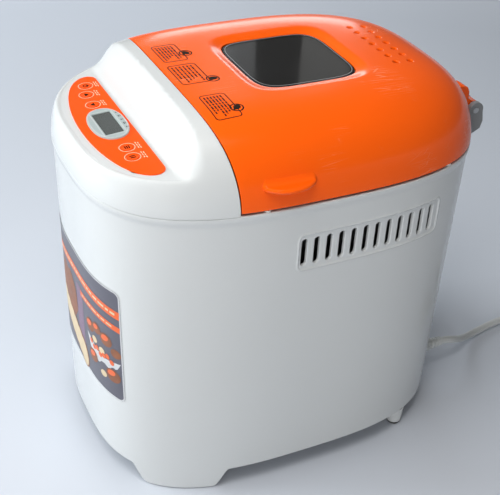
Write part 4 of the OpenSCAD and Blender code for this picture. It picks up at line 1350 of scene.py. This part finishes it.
def resampled(points, count):
    """The same line with evenly spaced points."""
    points = np.array(points)
    run = np.concatenate([[0], np.cumsum(np.linalg.norm(np.diff(points, axis=0), axis=1))])
    at = np.linspace(0, run[-1], count)
    return columns([np.interp(at, run, points[:, k]) for k in range(3)])


def make_tab(side, name):
    turns = [pi * i / (TAB_SLICES - 1) for i in range(TAB_SLICES)]
    verts = np.concatenate([tab_section(side, TAB_Y - TAB_HALF * cos(t) * 0.999) for t in turns])
    piece(name, "lid", "orange_lid", verts, ring_faces(TAB_SLICES, TAB_POINTS, side < 0))


make_tab(1, "lift_tab_right")
make_tab(-1, "lift_tab_left")


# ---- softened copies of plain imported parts

SLOTS = {part["node"]: part["material_slot"] for part in frame["record"]["subparts"]}
BODIES = {node: body for body, nodes in frame["record"]["behaviour"]["bodies"].items() for node in nodes}
SHARP = radians(32)
SOFT_WIDTHS = {"hinge_brackets": 0.5, "lid_hinge_arms": 0.8, "rear_feet": 0.5, "foot_pads": 0.5,
               "rest_bumpers": 0.4, "bread_pan": 0.6, "chamber_collar": 0.3, "oven_chamber": 0.3,
               "kneading_paddle": 0.6, "lid_liner": 0.2, "lid_gasket": 0.6, "window_well": 0.2,
               "base_plate": 0.3, "pan_handle": 0, "hinge_pins": 0.3, "paddle_shaft": 0.2, "pan_mount": 0.3,
               "heating_element": 0, "lid_window": 0.3, "lid_inner_glass": 0.3}


def make_softened(node, width):
    """A copy of a node with small round edges and smooth curved faces, standing for the node."""
    bm = bmesh.new()
    bm.from_mesh(frame["nodes"][node].data)
    bmesh.ops.remove_doubles(bm, verts=bm.verts, dist=2e-6)
    bmesh.ops.dissolve_limit(bm, angle_limit=radians(0.6), verts=bm.verts, edges=bm.edges)
    mesh = bpy.data.meshes.new(node + "_soft")
    bm.to_mesh(mesh)
    bm.free()
    mesh.materials.clear()
    mesh.materials.append(MATERIALS[SLOTS[node]])
    mesh.polygons.foreach_set("use_smooth", [True] * len(mesh.polygons))
    mesh.set_sharp_from_angle(angle=SHARP)
    obj = bpy.data.objects.new(node + "_soft", mesh)
    if width:
        bevel = obj.modifiers.new("round", "BEVEL")
        bevel.width = width * MM
        bevel.segments = 2
        bevel.limit_method = "ANGLE"
        bevel.angle_limit = SHARP
        bevel.harden_normals = True
        bevel.use_clamp_overlap = True
    finished(obj, BODIES[node], [node])


for soft_node, soft_width in SOFT_WIDTHS.items():
    make_softened(soft_node, soft_width)


# ---- carried-over nodes

for node_name, slot_name in SLOTS.items():
    packed = frame["nodes"][node_name].data
    packed.materials.clear()
    packed.materials.append(MATERIALS["label_ground" if slot_name == "label_print" else slot_name])
